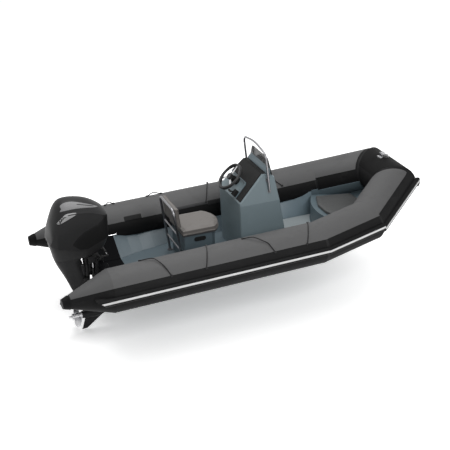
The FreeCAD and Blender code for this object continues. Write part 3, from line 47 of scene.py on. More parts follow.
# Camera. It stands off the starboard quarter, looking down at the boat, at the
# photograph's own place and focal length.
YAW, PITCH, ROLL = 0.354, 0.441, -0.038
PLACE = (-2.469, -11.269, 6.059)
FOCAL_PIXELS, PHOTO_PIXELS = 1090.3, 450
SENSOR = 36
look = Vector((math.sin(YAW) * math.cos(PITCH), math.cos(YAW) * math.cos(PITCH), -math.sin(PITCH)))
right = look.cross(Vector((0, 0, 1))).normalized()
upward = right.cross(look)
right_rolled = right * math.cos(ROLL) + upward * math.sin(ROLL)
upward_rolled = upward * math.cos(ROLL) - right * math.sin(ROLL)
camera_data = bpy.data.cameras.new("camera")
camera_data.sensor_width = SENSOR
camera_data.lens = FOCAL_PIXELS / PHOTO_PIXELS * SENSOR
camera_data.clip_end = 200
camera = bpy.data.objects.new("camera", camera_data)
turn = Matrix((right_rolled, upward_rolled, -look)).transposed().to_4x4()
camera.matrix_world = Matrix.Translation(PLACE) @ turn
scene.collection.objects.link(camera)
scene.camera = camera


# Room: a pale studio all round. It is white to the eye, in reflections and through
# glass, and dimmer as light, so that the lamps shape the boat.
def add(tree, kind, **values):
    """Puts in a shader node. A value is one of its settings, or else a socket's."""
    node = tree.nodes.new("ShaderNode" + kind)
    for name, value in values.items():
        if hasattr(node, name):
            setattr(node, name, value)
        else:
            node.inputs[name.replace("_", " ")].default_value = value
    return node


def join(tree, source, target):
    """Links one socket to another."""
    tree.links.new(source, target)


def camera_ray(tree):
    """1 for what the camera sees, also in gloss and through glass."""
    path = add(tree, "LightPath")
    glossy = add(tree, "Math", operation="MAXIMUM")
    through = add(tree, "Math", operation="MAXIMUM")
    join(tree, path.outputs["Is Camera Ray"], glossy.inputs[0])
    join(tree, path.outputs["Is Glossy Ray"], glossy.inputs[1])
    join(tree, glossy.outputs[0], through.inputs[0])
    join(tree, path.outputs["Is Transmission Ray"], through.inputs[1])
    return through.outputs[0]


ROOM_LIGHT = 0.45
world = bpy.data.worlds.new("room")
scene.world = world
world.use_nodes = True
room = world.node_tree
background = room.nodes["Background"]
background.inputs["Color"].default_value = (1, 1, 1, 1)
background.inputs["Strength"].default_value = ROOM_LIGHT
seen = add(room, "Background", Color=(1, 1, 1, 1), Strength=1.0)
choice = add(room, "MixShader")
join(room, camera_ray(room), choice.inputs[0])
join(room, background.outputs[0], choice.inputs[1])
join(room, seen.outputs[0], choice.inputs[2])
join(room, choice.outputs[0], room.nodes["World Output"].inputs["Surface"])


# Lamps: a broad one above and one from the camera's left. Both are soft studio boxes
# that face the middle of the boat.
def area_lamp(name, place, target, size, power):
    """A square lamp, with its side in metres and its power in watts."""
    data = bpy.data.lights.new(name, "AREA")
    data.shape = "SQUARE"
    data.size = size
    data.energy = power
    lamp = bpy.data.objects.new(name, data)
    facing = (Vector(target) - Vector(place)).to_track_quat("-Z", "Y")
    lamp.matrix_world = Matrix.Translation(place) @ facing.to_matrix().to_4x4()
    scene.collection.objects.link(lamp)


area_lamp("lamp_above", (1.0, 1.5, 7.0), (1.6, 0, 0), 5.0, 300)
area_lamp("lamp_side", (2.5, -7.6, 5.3), (1.6, 0, 0.3), 4.0, 340)

# Floor: a wide ground just below the motor's skeg. The camera sees it white but for the
# boat's soft shadow. That shadow is partly lit shade and partly a painted shadow, where
# ambient occlusion dims the white glow under the boat. Every other ray meets a mid grey.
FLOOR_HALF = 40
FLOOR_Z = -0.63
SHADOW_REACH = 0.85
SHADOW_GLOW = 0.42
ground = bmesh.new()
bmesh.ops.create_grid(ground, x_segments=1, y_segments=1, size=FLOOR_HALF,
                      matrix=Matrix.Translation((0, 0, FLOOR_Z)))
floor_mesh = bpy.data.meshes.new("floor")
ground.to_mesh(floor_mesh)
ground.free()
floor = bpy.data.objects.new("floor", floor_mesh)
scene.collection.objects.link(floor)
floor_material = bpy.data.materials.new("floor")
floor_material.use_nodes = True
tree = floor_material.node_tree
tree.nodes["Principled BSDF"].inputs["Base Color"].default_value = (0.4, 0.4, 0.4, 1)
tree.nodes["Principled BSDF"].inputs["Roughness"].default_value = 0.9
shade = add(tree, "BsdfDiffuse", Color=(1.3, 1.3, 1.3, 1))
glow = add(tree, "Emission", Color=(1, 1, 1, 1))
# Painted shadow: ambient occlusion dims the floor's white glow under the boat.
painted_shadow_occlusion = add(tree, "AmbientOcclusion", samples=16, Distance=SHADOW_REACH)
level = add(tree, "Math", operation="MULTIPLY")
level.inputs[1].default_value = SHADOW_GLOW
join(tree, painted_shadow_occlusion.outputs["AO"], level.inputs[0])
join(tree, level.outputs[0], glow.inputs["Strength"])
both = add(tree, "AddShader")
join(tree, shade.outputs[0], both.inputs[0])
join(tree, glow.outputs[0], both.inputs[1])
mix = add(tree, "MixShader")
join(tree, camera_ray(tree), mix.inputs[0])
join(tree, tree.nodes["Principled BSDF"].outputs[0], mix.inputs[1])
join(tree, both.outputs[0], mix.inputs[2])
join(tree, mix.outputs[0], tree.nodes["Material Output"].inputs["Surface"])
floor_mesh.materials.append(floor_material)


# Collar: four runs of rubberised fabric tube a side, cut and glued at mitres, with a
# seam tape rolled down over each mitre. Its fabric's weave shows faintly.
class Finish:
    """A material being built: its tree, shader and the relief gathered so far."""

    BAND = 0.314  # a wave texture's scale for bands 1 m apart

    def __init__(self, name, colour, roughness, metallic=0.0, specular=0.5,
                 drift=0.12, drift_scale=3.0):
        self.material = bpy.data.materials.new(name)
        self.material.use_nodes = True
        self.tree = self.material.node_tree
        self.shader = self.tree.nodes["Principled BSDF"]
        self.shader.inputs["Metallic"].default_value = metallic
        self.shader.inputs["Specular IOR Level"].default_value = specular
        self.place = add(self.tree, "TexCoord").outputs["Object"]
        self.normal = None
        broad = self.noise(drift_scale, 4)
        low = [channel * (1 - drift) for channel in colour]
        high = [min(1.0, channel * (1 + drift)) for channel in colour]
        self.colour = self.blend(broad, low, high)
        self.roughness = self.spread(broad, roughness - 0.05, roughness + 0.05)

    def noise(self, scale, detail, stretch=None, roughness=0.55):
        node = add(self.tree, "TexNoise", Scale=scale, Detail=detail, Roughness=roughness)
        place = self.place
        if stretch:
            mapping = add(self.tree, "Mapping", Scale=stretch)
            join(self.tree, place, mapping.inputs["Vector"])
            place = mapping.outputs[0]
        join(self.tree, place, node.inputs["Vector"])
        return node.outputs["Fac"]

    def cells(self, scale, feature="F1"):
        node = add(self.tree, "TexVoronoi", Scale=scale)
        node.feature = feature
        join(self.tree, self.place, node.inputs["Vector"])
        return node.outputs["Distance"]

    def bands(self, pitch, axis="X", distortion=0.0):
        node = add(self.tree, "TexWave", Scale=self.BAND / pitch, Distortion=distortion)
        node.bands_direction = axis
        join(self.tree, self.place, node.inputs["Vector"])
        return node.outputs["Fac"]

    def combine(self, operation, a, b):
        node = add(self.tree, "Math", operation=operation)
        for socket, value in zip(node.inputs, (a, b)):
            if isinstance(value, (int, float)):
                socket.default_value = value
            else:
                join(self.tree, value, socket)
        return node.outputs[0]

    def spread(self, source, low, high, start=0.3, end=0.7):
        """Maps start to end on low to high, and clamps what lies past them."""
        node = add(self.tree, "MapRange")
        for name, value in (("From Min", start), ("From Max", end),
                            ("To Min", low), ("To Max", high)):
            node.inputs[name].default_value = value
        join(self.tree, source, node.inputs["Value"])
        return node.outputs["Result"]

    def blend(self, factor, a, b):
        """Mixes two colours. A Mix node has them in sockets 6 and 7, and gives output 2."""
        node = add(self.tree, "Mix", data_type="RGBA")
        join(self.tree, factor, node.inputs["Factor"])
        for index, value in ((6, a), (7, b)):
            if isinstance(value, (list, tuple)):
                node.inputs[index].default_value = (*value, 1)
            else:
                join(self.tree, value, node.inputs[index])
        return node.outputs[2]

    def relief(self, source, depth, strength=1.0):
        """Adds a height pattern, whose full depth is in metres."""
        bump = add(self.tree, "Bump", Strength=strength, Distance=depth)
        join(self.tree, source, bump.inputs["Height"])
        if self.normal:
            join(self.tree, self.normal, bump.inputs["Normal"])
        self.normal = bump.outputs[0]

    def scuff(self, colour, amount, scale, roughness=None, stretch=None):
        """Worn or dusty patches: a share of the surface takes another colour and gloss."""
        patch = self.noise(scale, 6, stretch, 0.7)
        cover = self.spread(patch, 0.0, amount, 0.55, 0.72)
        self.colour = self.blend(cover, self.colour, colour)
        if roughness is not None:
            rough = self.spread(patch, 0.0, roughness, 0.55, 0.72)
            self.roughness = self.combine("ADD", self.roughness, rough)

    def done(self, coat=0.0, coat_roughness=0.25, sheen=0.0):
        join(self.tree, self.colour, self.shader.inputs["Base Color"])
        join(self.tree, self.roughness, self.shader.inputs["Roughness"])
        if self.normal:
            join(self.tree, self.normal, self.shader.inputs["Normal"])
        self.shader.inputs["Coat Weight"].default_value = coat
        self.shader.inputs["Coat Roughness"].default_value = coat_roughness
        self.shader.inputs["Sheen Weight"].default_value = sheen
        return self.material


def dress(finish, *names):
    """Gives CAD nodes their finish."""
    for name in names:
        nodes[name].data.materials.clear()
        nodes[name].data.materials.append(finish)


def coated_fabric(name, colour, roughness, specular, weave=0.00012):
    """Rubberised tube fabric: the weave shows faintly through the coat."""
    thread = 0.0022
    finish = Finish(name, colour, roughness, specular=specular, drift=0.14, drift_scale=2.5)
    warp = finish.bands(thread, "X")
    weft = finish.bands(thread, "Z")
    finish.relief(finish.combine("MULTIPLY", warp, weft), weave)
    finish.relief(finish.noise(14, 5), 0.0012, 0.35)
    chalky = [min(1, channel * 1.9 + 0.02) for channel in colour]
    finish.scuff(chalky, 0.25, 9, 0.1, (0.35, 1, 1))
    return finish.done()


tube_black = coated_fabric("tube_black", (0.0075, 0.0075, 0.0078), 0.6, 0.1)
dress(tube_black, "side_tubes", "shoulder_tubes", "bow_tubes", "nose_tube")
TUBE = 0.25
KNUCKLES = ((0, 0.835, 0.28), (2.551, 0.828, 0.342), (3.263, 0.704, 0.43), (3.843, 0.285, 0.651))


def knuckle(side, index):
    """A corner of the collar's centre line. Past the nose it lies on the other side."""
    x, y, z = KNUCKLES[min(index, 3)]
    return Vector((x, side * y * (1 if index < 4 else -1), z))


def run_axes(side, index):
    """Where a run of tube starts, its axis, and the ways outward and upward from it."""
    start, end = knuckle(side, index), knuckle(side, index + 1)
    axis = (end - start).normalized()
    outward = (axis.cross(Vector((0, 0, 1))) * -side).normalized()
    upward = (axis.cross(outward) * side).normalized()
    return start, axis, outward, upward


def join_in(whole, part):
    """Cleans one worked shape, turns its faces outwards and puts it into its piece."""
    bmesh.ops.remove_doubles(part, verts=part.verts, dist=1e-6)
    bmesh.ops.recalc_face_normals(part, faces=part.faces)
    if part.calc_volume(signed=True) < 0:
        bmesh.ops.reverse_faces(part, faces=part.faces)
    loose = bpy.data.meshes.new("part")
    part.to_mesh(loose)
    part.free()
    whole.from_mesh(loose)
    bpy.data.meshes.remove(loose)


def fit(name, whole, finish, body, sharp=40):
    """Makes the worked mesh a piece that rides on a body."""
    mesh = bpy.data.meshes.new(name)
    whole.to_mesh(mesh)
    whole.free()
    for polygon in mesh.polygons:
        polygon.use_smooth = True
    mesh.set_sharp_from_angle(angle=math.radians(sharp))
    mesh.materials.append(finish)
    obj = bpy.data.objects.new(name, mesh)
    scene.collection.objects.link(obj)
    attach(obj, body)


def thicken(part, out):
    """Makes a sheet a slab: the layer holds how far each point's top side stands off."""
    grown = bmesh.ops.extrude_face_region(part, geom=part.faces[:])["geom"]
    for vertex in grown:
        if isinstance(vertex, bmesh.types.BMVert):
            vertex.co += vertex[out]
    part.verts.layers.float_vector.remove(out)


def all_of(part):
    return part.verts[:] + part.edges[:] + part.faces[:]


def set_at(place, course, axis=(0, 0, 1)):
    """Puts a shape's middle at a place and turns its axis along the course."""
    return Matrix.Translation(place) @ Vector(axis).rotation_difference(course).to_matrix().to_4x4()


def tape_mitre(whole, side, index):
    """A band of tube wall, cut beside the mitre and mirrored in it."""
    half_width, rise, thickness = 0.016, 0.0014, 0.002
    here = knuckle(side, index)
    before, after = run_axes(side, index - 1)[1], run_axes(side, index)[1]
    mitre = (before + after).normalized()
    part = bmesh.new()
    bmesh.ops.create_cone(part, cap_ends=False, segments=72, radius1=TUBE + rise,
                          radius2=TUBE + rise, depth=1.4, matrix=set_at(here, before))
    edge = here - before * half_width
    bmesh.ops.bisect_plane(part, geom=all_of(part), plane_co=here, plane_no=mitre, clear_outer=True)
    bmesh.ops.bisect_plane(part, geom=all_of(part), plane_co=edge, plane_no=mitre, clear_inner=True)
    across = set_at(here, mitre, (1, 0, 0))
    bmesh.ops.mirror(part, geom=all_of(part), matrix=across.inverted(), axis="X")
    bmesh.ops.remove_doubles(part, verts=part.verts, dist=1e-5)
    bmesh.ops.recalc_face_normals(part, faces=part.faces)
    part.normal_update()
    inward = part.verts.layers.float_vector.new("out")
    for vertex in part.verts:
        vertex[inward] = vertex.normal * -thickness
    thicken(part, inward)
    join_in(whole, part)


def rubber(name, colour, roughness, rib=0.0, specular=0.18):
    """Extruded rubber: fine ribs along its length, and a dry bloom."""
    finish = Finish(name, colour, roughness, specular=specular, drift=0.15, drift_scale=5)
    if rib:
        finish.relief(finish.bands(rib, "Z"), 0.0006, 0.6)
    finish.relief(finish.noise(300, 3), 0.0002, 0.7)
    bloom = [min(1, channel * 2.4 + 0.015) for channel in colour]
    finish.scuff(bloom, 0.3, 12, 0.1, (0.25, 1, 1))
    return finish.done()


seam_rubber = rubber("seam_line", (0.008, 0.008, 0.0085), 0.6)
tapes = bmesh.new()
for side in (-1, 1):
    for index in (1, 2, 3):
        tape_mitre(tapes, side, index)
fit("collar_seam_tapes", tapes, seam_rubber, "boat", 8)

# Wear panels: a thick pebbled sheet glued over the top of each run, and a black one
# on the nose. A strip along the shoulder's outer edge is cut from the same sheet.
def wear_panel(name, colour, specular=0.3):
    """Wear panel: a fine pebbled non-slip grain, dulled where feet and hands pass."""
    finish = Finish(name, colour, 0.62, specular=specular, drift=0.1, drift_scale=4)
    finish.relief(finish.cells(420), 0.0004)
    finish.relief(finish.noise(60, 4), 0.0008, 0.4)
    finish.scuff([channel * 0.72 for channel in colour], 0.35, 6, 0.08)
    finish.scuff([min(1, channel * 1.3) for channel in colour], 0.3, 22, None, (0.3, 1, 1))
    return finish.done()


panel_grey = wear_panel("panel_grey", (0.08, 0.08, 0.081))
dress(panel_grey, "side_panels", "shoulder_panels", "bow_panels")
dress(wear_panel("panel_dark", (0.0045, 0.0045, 0.0046), 0.08), "nose_panel")


SINK = 0.0005  # how deep a glued piece's underside lies in what carries it


def steps(low, high, step):
    """Even places from low to high, about a step apart."""
    count = max(1, int(round((high - low) / step)))
    return [low + (high - low) * index / count for index in range(count + 1)]


def bond_pad(whole, side, index, along, angles, rise, thickness):
    """A pad glued round one run of the collar, with its edges feathered down."""
    start, axis, outward, upward = run_axes(side, index)
    part = bmesh.new()
    out = part.verts.layers.float_vector.new("out")
    columns, rows = len(steps(*along, 0.02)) - 1, len(steps(*angles, 2.0)) - 1
    bmesh.ops.create_grid(part, x_segments=columns, y_segments=rows, size=0.5)
    half = max(vertex.co.x for vertex in part.verts)
    for vertex in part.verts:
        u, v = (vertex.co.x / half + 1) / 2, (vertex.co.y / half + 1) / 2
        turn = math.radians(angles[0] + (angles[1] - angles[0]) * v)
        away = outward * math.sin(turn) + upward * math.cos(turn)
        vertex[out] = away * (rise + SINK + (0 if vertex.is_boundary else thickness))
        vertex.co = start + axis * (along[0] + (along[1] - along[0]) * u) + away * (TUBE - SINK)
    thicken(part, out)
    join_in(whole, part)


strips = bmesh.new()
for side in (-1, 1):
    bond_pad(strips, side, 1, (-0.016, 0.766), (47, 57.2), 0.0028, 0.0006)
fit("shoulder_strips", strips, panel_grey, "boat")

# Rubbing strake, its white stripe and the cone caps: extruded and moulded rubber,
# glued along the collar's outer side and over its after ends.
dress(rubber("strake_rubber", (0.006, 0.006, 0.0062), 0.5, 0.011, 0.1), "rubbing_strake")
dress(rubber("stripe_white", (0.8, 0.8, 0.8), 0.45), "strake_stripe")
dress(rubber("cap_rubber", (0.004, 0.004, 0.0042), 0.55, 0.02, 0.1), "cone_caps")

# Grab ropes: laid line, made fast at patches along the collar's top. They hang as
# taut hand lines in the CAD.
def twisted_rope(name, colour):
    finish = Finish(name, colour, 0.75, specular=0.25, drift=0.15, drift_scale=20)
    finish.relief(finish.bands(0.006, "DIAGONAL", 1.5), 0.0012, 0.9)
    finish.relief(finish.noise(1400, 2), 0.0004, 0.6)
    return finish.done(sheen=0.1)


dress(twisted_rope("rope", (0.012, 0.012, 0.0125)), "grab_ropes")

# Grab handles along the collar's inner side: dark rubber pads and a strip of
# webbing between them, glued on.
PADS = (((0.595, 0.835), (-67, -51)), ((1.69, 1.89), (-71, -55)), ((1.23, 1.3), (-70, -54)))
pads, webs = bmesh.new(), bmesh.new()
for side in (-1, 1):
    for along, angles in PADS:
        bond_pad(pads, side, 0, along, angles, 0.0005, 0.006)
    bond_pad(webs, side, 0, (1.28, 1.7), (-65, -57), 0.012, 0.004)
fit("handle_pads", pads, seam_rubber, "boat")
webbing = coated_fabric("webbing", (0.05, 0.05, 0.052), 0.8, 0.2, 0.0006)
fit("handle_webbing", webs, webbing, "boat")

# Hull, deck and seat pod: glass-fibre mouldings with a grey-blue gelcoat, with foam
# non-skid glued to the sole. The transom and its well are near black, and in the well's
# recess that black is painted shade.
def gelcoat(name, colour, roughness=0.42, coat=0.1, scuffs=0.2, specular=0.35, painted_light_colour=None):
    """Gelcoat moulding: a faint orange peel, with dulled scuffs and dust in places.
    Towards the bow it may be painted lighter, as painted light on the forward mouldings."""
    finish = Finish(name, colour, roughness, specular=specular, drift=0.07, drift_scale=1.6)
    if painted_light_colour:
        parts = add(finish.tree, "SeparateXYZ")
        join(finish.tree, finish.place, parts.inputs[0])
        painted_light_share = finish.spread(parts.outputs["X"], 0.0, 1.0, 1.4, 3.0)
        finish.colour = finish.blend(painted_light_share, finish.colour, painted_light_colour)
    finish.relief(finish.noise(140, 3), 0.00012, 0.6)
    finish.scuff([min(1, channel * 1.25 + 0.01) for channel in colour], scuffs, 5, 0.12)
    return finish.done(coat=coat, coat_roughness=0.3)


def nonskid_sheet(name, colour):
    """Foam non-skid: close-set round pips, with painted shade a little darker between them."""
    finish = Finish(name, colour, 0.8, specular=0.25, drift=0.07, drift_scale=5)
    pips = finish.cells(170)
    finish.relief(pips, 0.001, 0.8)
    # Painted shade: the foam is darkened in the hollows between the pips.
    finish.colour = finish.blend(finish.spread(pips, 0.0, 0.22, 0.35, 0.75), finish.colour,
                                 [channel * 0.6 for channel in colour])
    finish.scuff([channel * 0.75 for channel in colour], 0.3, 6)
    return finish.done()


hull_gelcoat = gelcoat("hull_grp", (0.096, 0.13, 0.148))
dress(hull_gelcoat, "hull", "bow_deck", "dash_lip")
dress(gelcoat("sole_grp", (0.08, 0.108, 0.124)), "deck_floor", "seat_pod")
# The liner's gelcoat is given darker than the hull's, and is painted lighter towards the bow as
# painted light.
dress(gelcoat("liner_grp", (0.074, 0.1, 0.115), painted_light_colour=(0.15, 0.2, 0.23)), "side_mouldings")
dress(nonskid_sheet("nonskid", (0.25, 0.28, 0.29)), "floor_nonskid")
# Painted shade: the stern well's recess takes the transom's near black.
transom_black = gelcoat("transom_black", (0.0035, 0.0037, 0.0042), 0.75, 0.0, 0.1, 0.04)
dress(transom_black, "transom", "stern_well")

# Stainless fittings: the rail round the console, the seat's hoop, the bow roller, the
# towing eyes, and a small cleat on the well's port edge.
def metal(name, colour, roughness):
    """Polished or brushed metal: fine drawn lines and dull spots."""
    finish = Finish(name, colour, roughness, metallic=1.0, drift=0.08, drift_scale=9)
    lines = finish.noise(900, 2, (1, 1, 0.08))
    finish.relief(lines, 0.00006, 0.6)
    finish.roughness = finish.combine("ADD", finish.roughness, finish.spread(lines, -0.04, 0.06))
    finish.scuff([channel * 0.6 for channel in colour], 0.25, 30, 0.12)
    return finish.done()


def spline_points(points, per_span, closed=False):
    """A smooth line through the points (Catmull-Rom)."""
    points = [Vector(point) for point in points]
    count = len(points)
    result = []
    spans = count if closed else count - 1
    for index in range(spans):
        if closed:
            a, b, c, d = (points[(index + k) % count] for k in (-1, 0, 1, 2))
        else:
            a, b = points[max(0, index - 1)], points[index]
            c, d = points[index + 1], points[min(count - 1, index + 2)]
        for step in range(per_span):
            t = step / per_span
            result.append(0.5 * ((2 * b) + (c - a) * t + (2 * a - 5 * b + 4 * c - d) * t * t
                                 + (3 * b - a - 3 * c + d) * t * t * t))
    if not closed:
        result.append(points[-1])
    return result


def lathe(whole, base, axis, profile, sides=24):
    """A turned part: its profile, as (height along the axis, radius), is spun full circle."""
    base, axis = Vector(base), Vector(axis).normalized()
    reach = axis.orthogonal().normalized()
    part = bmesh.new()
    ends = [(profile[0][0], 0), *profile, (profile[-1][0], 0)]
    line = [part.verts.new(base + axis * height + reach * radius) for height, radius in ends]
    wire = [part.edges.new(pair) for pair in zip(line, line[1:])]
    bmesh.ops.spin(part, geom=line + wire, cent=base, axis=axis, angle=math.tau, steps=sides,
                   use_merge=True)
    join_in(whole, part)


def bend_tube(whole, path, radius, sides=10, closed=False):
    """A round bar or tube, drawn ring by ring along its path."""
    part = bmesh.new()
    count = len(path)
    bearing = (path[1] - (path[-1] if closed else path[0])).normalized()
    bmesh.ops.create_circle(part, radius=radius, segments=sides, matrix=set_at(path[0], bearing))
    first = ring = part.edges[:]
    for index in range(1, count):
        after = path[(index + 1) % count] if closed or index < count - 1 else path[index]
        course = (after - path[index - 1]).normalized()
        grown = bmesh.ops.extrude_edge_only(part, edges=ring)["geom"]
        fresh = {item for item in grown if isinstance(item, bmesh.types.BMVert)}
        ring = [item for item in grown
                if isinstance(item, bmesh.types.BMEdge) and fresh.issuperset(item.verts)]
        bmesh.ops.rotate(part, cent=path[index - 1], verts=list(fresh),
                         matrix=bearing.rotation_difference(course).to_matrix())
        bmesh.ops.translate(part, vec=path[index] - path[index - 1], verts=list(fresh))
        bearing = course
    if closed:
        bmesh.ops.bridge_loops(part, edges=first + ring)
    else:
        bmesh.ops.holes_fill(part, edges=part.edges[:])
    join_in(whole, part)


dress(metal("stainless", (0.24, 0.24, 0.25), 0.3), "console_rail", "seat_hoop")
polished_steel = metal("polished_stainless", (0.5, 0.5, 0.51), 0.22)
dress(polished_steel, "bow_roller", "bow_eye", "stern_eyes", "tilt_ram_rod")
bright_steel = metal("bright_steel", (0.75, 0.75, 0.76), 0.15)
CLEAT_POST = ((0, 0.012), (0.004, 0.012), (0.005, 0.007), (0.02, 0.007))
CLEAT_HORNS = ((0.37, 0.565, 0.272), (0.395, 0.565, 0.268), (0.422, 0.565, 0.267),
               (0.45, 0.565, 0.268), (0.475, 0.565, 0.272))
cleat = bmesh.new()
for x in (0.4, 0.445):
    lathe(cleat, (x, 0.565, 0.246), (0, 0, 1), CLEAT_POST)
bend_tube(cleat, spline_points(CLEAT_HORNS, 6), 0.007)
fit("well_cleat", cleat, bright_steel, "boat")

# Console: a glass-fibre moulding whose gelcoat is given lighter than the hull's, as painted
# light on it, with a black dash, a black strip wrapped over its brow, and a pale fillet
# that leads up to the smoked windscreen.
def moulded(name, colour, roughness, specular=0.25):
    """Moulded plastic: spark-eroded texture with polished, scratched high spots."""
    finish = Finish(name, colour, roughness, specular=specular, drift=0.1, drift_scale=6)
    finish.relief(finish.noise(700, 2), 0.00025, 0.8)
    polished = [min(1, channel * 1.8 + 0.01) for channel in colour]
    finish.scuff(polished, 0.25, 25, -0.1, (0.15, 1, 1))
    return finish.done()


def smoked_glass(name):
    """Smoked acrylic: see-through, with fine wiping marks and dusty patches."""
    finish = Finish(name, (0.1, 0.1, 0.1), 0.12, specular=0.5, drift=0.05)
    finish.relief(finish.noise(600, 2, (1, 0.1, 1)), 0.00003, 0.5)
    finish.scuff((0.2, 0.2, 0.2), 0.12, 10, 0.1)
    finish.shader.inputs["Transmission Weight"].default_value = 0.55
    finish.shader.inputs["IOR"].default_value = 1.2
    return finish.done()


# Painted light: the console takes a lighter grey-blue than the hull's gelcoat.
dress(gelcoat("console_painted_light_grp", (0.158, 0.203, 0.222)), "console")
dash_black = moulded("dash_black", (0.0115, 0.0118, 0.0118), 0.6, specular=0.13)
dress(dash_black, "dash_panel", "throttle_control", "steering_column", "seat_latch")
dress(smoked_glass("smoked_acrylic"), "windscreen")


def surface(name):
    """A CAD node's skin, in the row frame, for shapes that are laid on it."""
    obj = nodes[name]
    return BVHTree.FromPolygons([obj.matrix_world @ vertex.co for vertex in obj.data.vertices],
                                [tuple(polygon.vertices) for polygon in obj.data.polygons])


console_skin = surface("console")
BROW = Vector((2.083, 0, 1.102))
INWARD, ACROSS = Vector((0.6, 0, -0.8)), Vector((0.8, 0, 0.6))
BROW_MIDDLE, BROW_HALF_WIDTH, BROW_HALF_LENGTH = 0.023, 0.029, 0.282
part = bmesh.new()
out = part.verts.layers.float_vector.new("out")
bmesh.ops.create_grid(part, x_segments=14, y_segments=47, size=0.5)
half = max(vertex.co.x for vertex in part.verts)
for vertex in part.verts:
    over = BROW_MIDDLE + BROW_HALF_WIDTH * vertex.co.x / half
    y = BROW_HALF_LENGTH * vertex.co.y / half
    start = BROW + ACROSS * over - INWARD * 0.2 + Vector((0, y, 0))
    hit, normal, _, _ = console_skin.ray_cast(start, INWARD)
    vertex[out] = normal * (0.0009 if vertex.is_boundary else 0.0045)
    vertex.co = hit - normal * SINK
thicken(part, out)
strip = bmesh.new()
join_in(strip, part)
fit("brow_strip", strip, dash_black, "boat")

SCREEN_X = 2.1785
part = bmesh.new()
loops = []
for y, inset in ((-0.3, 1), (-0.292, 0.25), (-0.27, 0), (0.27, 0), (0.292, 0.25), (0.3, 1)):
    low = Vector((2.128 + 0.02 * inset, y, 1.099 - 0.002 * inset))
    high = Vector((SCREEN_X, y, 1.152 - 0.04 * inset))
    crown = (low + high) / 2 + Vector((-0.003, 0, 0.004))
    outline = (low - Vector((0, 0, 0.012)), low, crown, high, Vector((SCREEN_X, y, 1.083)))
    corners = [part.verts.new(corner) for corner in outline]
    loops.append([part.edges.new((corners[index - 1], corners[index])) for index in range(5)])
for before, after in zip(loops, loops[1:]):
    bmesh.ops.bridge_loops(part, edges=before + after)
bmesh.ops.holes_fill(part, edges=part.edges[:])
fillet = bmesh.new()
join_in(fillet, part)
fit("screen_fillet", fillet, hull_gelcoat, "boat", 50)

# Steering wheel: silver spokes and a black hub, with a thick padded grip wrapped round
# the rim. The wheel leans back on the steering column.
WHEEL_LEAN = math.radians(49)
GRIP_RADIUS, GRIP_THICKNESS, GRIP_RINGS = 0.165, 0.035, 60
wheel_centre = Vector((1.803, 0.05, 0.99))
wheel_axis = Vector((-math.cos(WHEEL_LEAN), 0, math.sin(WHEEL_LEAN)))
wheel = Finish("wheel", (0.016, 0.016, 0.017), 0.5, specular=0.4)
offset = add(wheel.tree, "VectorMath", operation="DISTANCE")
join(wheel.tree, wheel.place, offset.inputs[0])
offset.inputs[1].default_value = wheel_centre
inside_rim = wheel.spread(offset.outputs["Value"], 1.0, 0.0, 0.148, 0.152)
outside_hub = wheel.spread(offset.outputs["Value"], 0.0, 1.0, 0.046, 0.05)
bare = wheel.combine("MULTIPLY", inside_rim, outside_hub)
wheel.colour = wheel.blend(bare, wheel.colour, (0.62, 0.62, 0.63))
wheel.roughness = wheel.combine("SUBTRACT", wheel.roughness, wheel.combine("MULTIPLY", bare, 0.25))
join(wheel.tree, bare, wheel.shader.inputs["Metallic"])
wheel.relief(wheel.cells(900), 0.0003)
nodes["steering_wheel"].data.materials[0] = wheel.done()
reach = wheel_axis.orthogonal().normalized()
grip = bmesh.new()
rim = [wheel_centre + Quaternion(wheel_axis, math.tau * step / GRIP_RINGS) @ reach * GRIP_RADIUS
       for step in range(GRIP_RINGS)]
bend_tube(grip, rim, GRIP_THICKNESS / 2, 14, True)


def vinyl(name, colour, roughness=0.5, grain=520, sheen=0.08):
    """Upholstery vinyl: leather-like grain, with darker patches."""
    finish = Finish(name, colour, roughness, specular=0.4, drift=0.08, drift_scale=7)
    finish.relief(finish.cells(grain, "SMOOTH_F1"), 0.0005, 0.8)
    finish.relief(finish.noise(30, 5), 0.002, 0.35)
    finish.scuff([channel * 0.7 for channel in colour], 0.3, 11, 0.08)
    return finish.done(sheen=sheen)


grip_vinyl = vinyl("wheel_rim", (0.009, 0.009, 0.0095), 0.5, 900, 0.02)
fit("wheel_grip", grip, grip_vinyl, "wheel")

# Motor: cast and moulded covers with a gloss lacquer, and a polished propeller. Silver
# inlays lie on the cowl's shoulders and black panels below its crease.
def painted(name, colour, roughness, coat, specular=0.25):
    """Motor paint: gloss lacquer over a metallic flake, with light dust and runs of dirt."""
    finish = Finish(name, colour, roughness, specular=specular, drift=0.12, drift_scale=3)
    finish.relief(finish.noise(90, 2), 0.0001, 0.5)
    flake = finish.cells(1600)
    finish.colour = finish.blend(finish.spread(flake, 0.0, 0.35, 0.3, 0.8), finish.colour,
                                 [min(1, channel * 2.2 + 0.004) for channel in colour])
    finish.scuff([min(1, channel * 1.8 + 0.01) for channel in colour], 0.3, 4, 0.12, (1, 1, 0.4))
    return finish.done(coat=coat, coat_roughness=0.15)


motor_black = painted("motor_black", (0.0165, 0.0165, 0.017), 0.48, 0.05, 0.12)
dress(motor_black, "cowl", "leg_housing", "lower_unit", "clamp_bracket", "swivel_bracket",
      "tilt_ram_cylinder")
dress(metal("propeller_metal", (0.5, 0.5, 0.51), 0.28), "propeller")
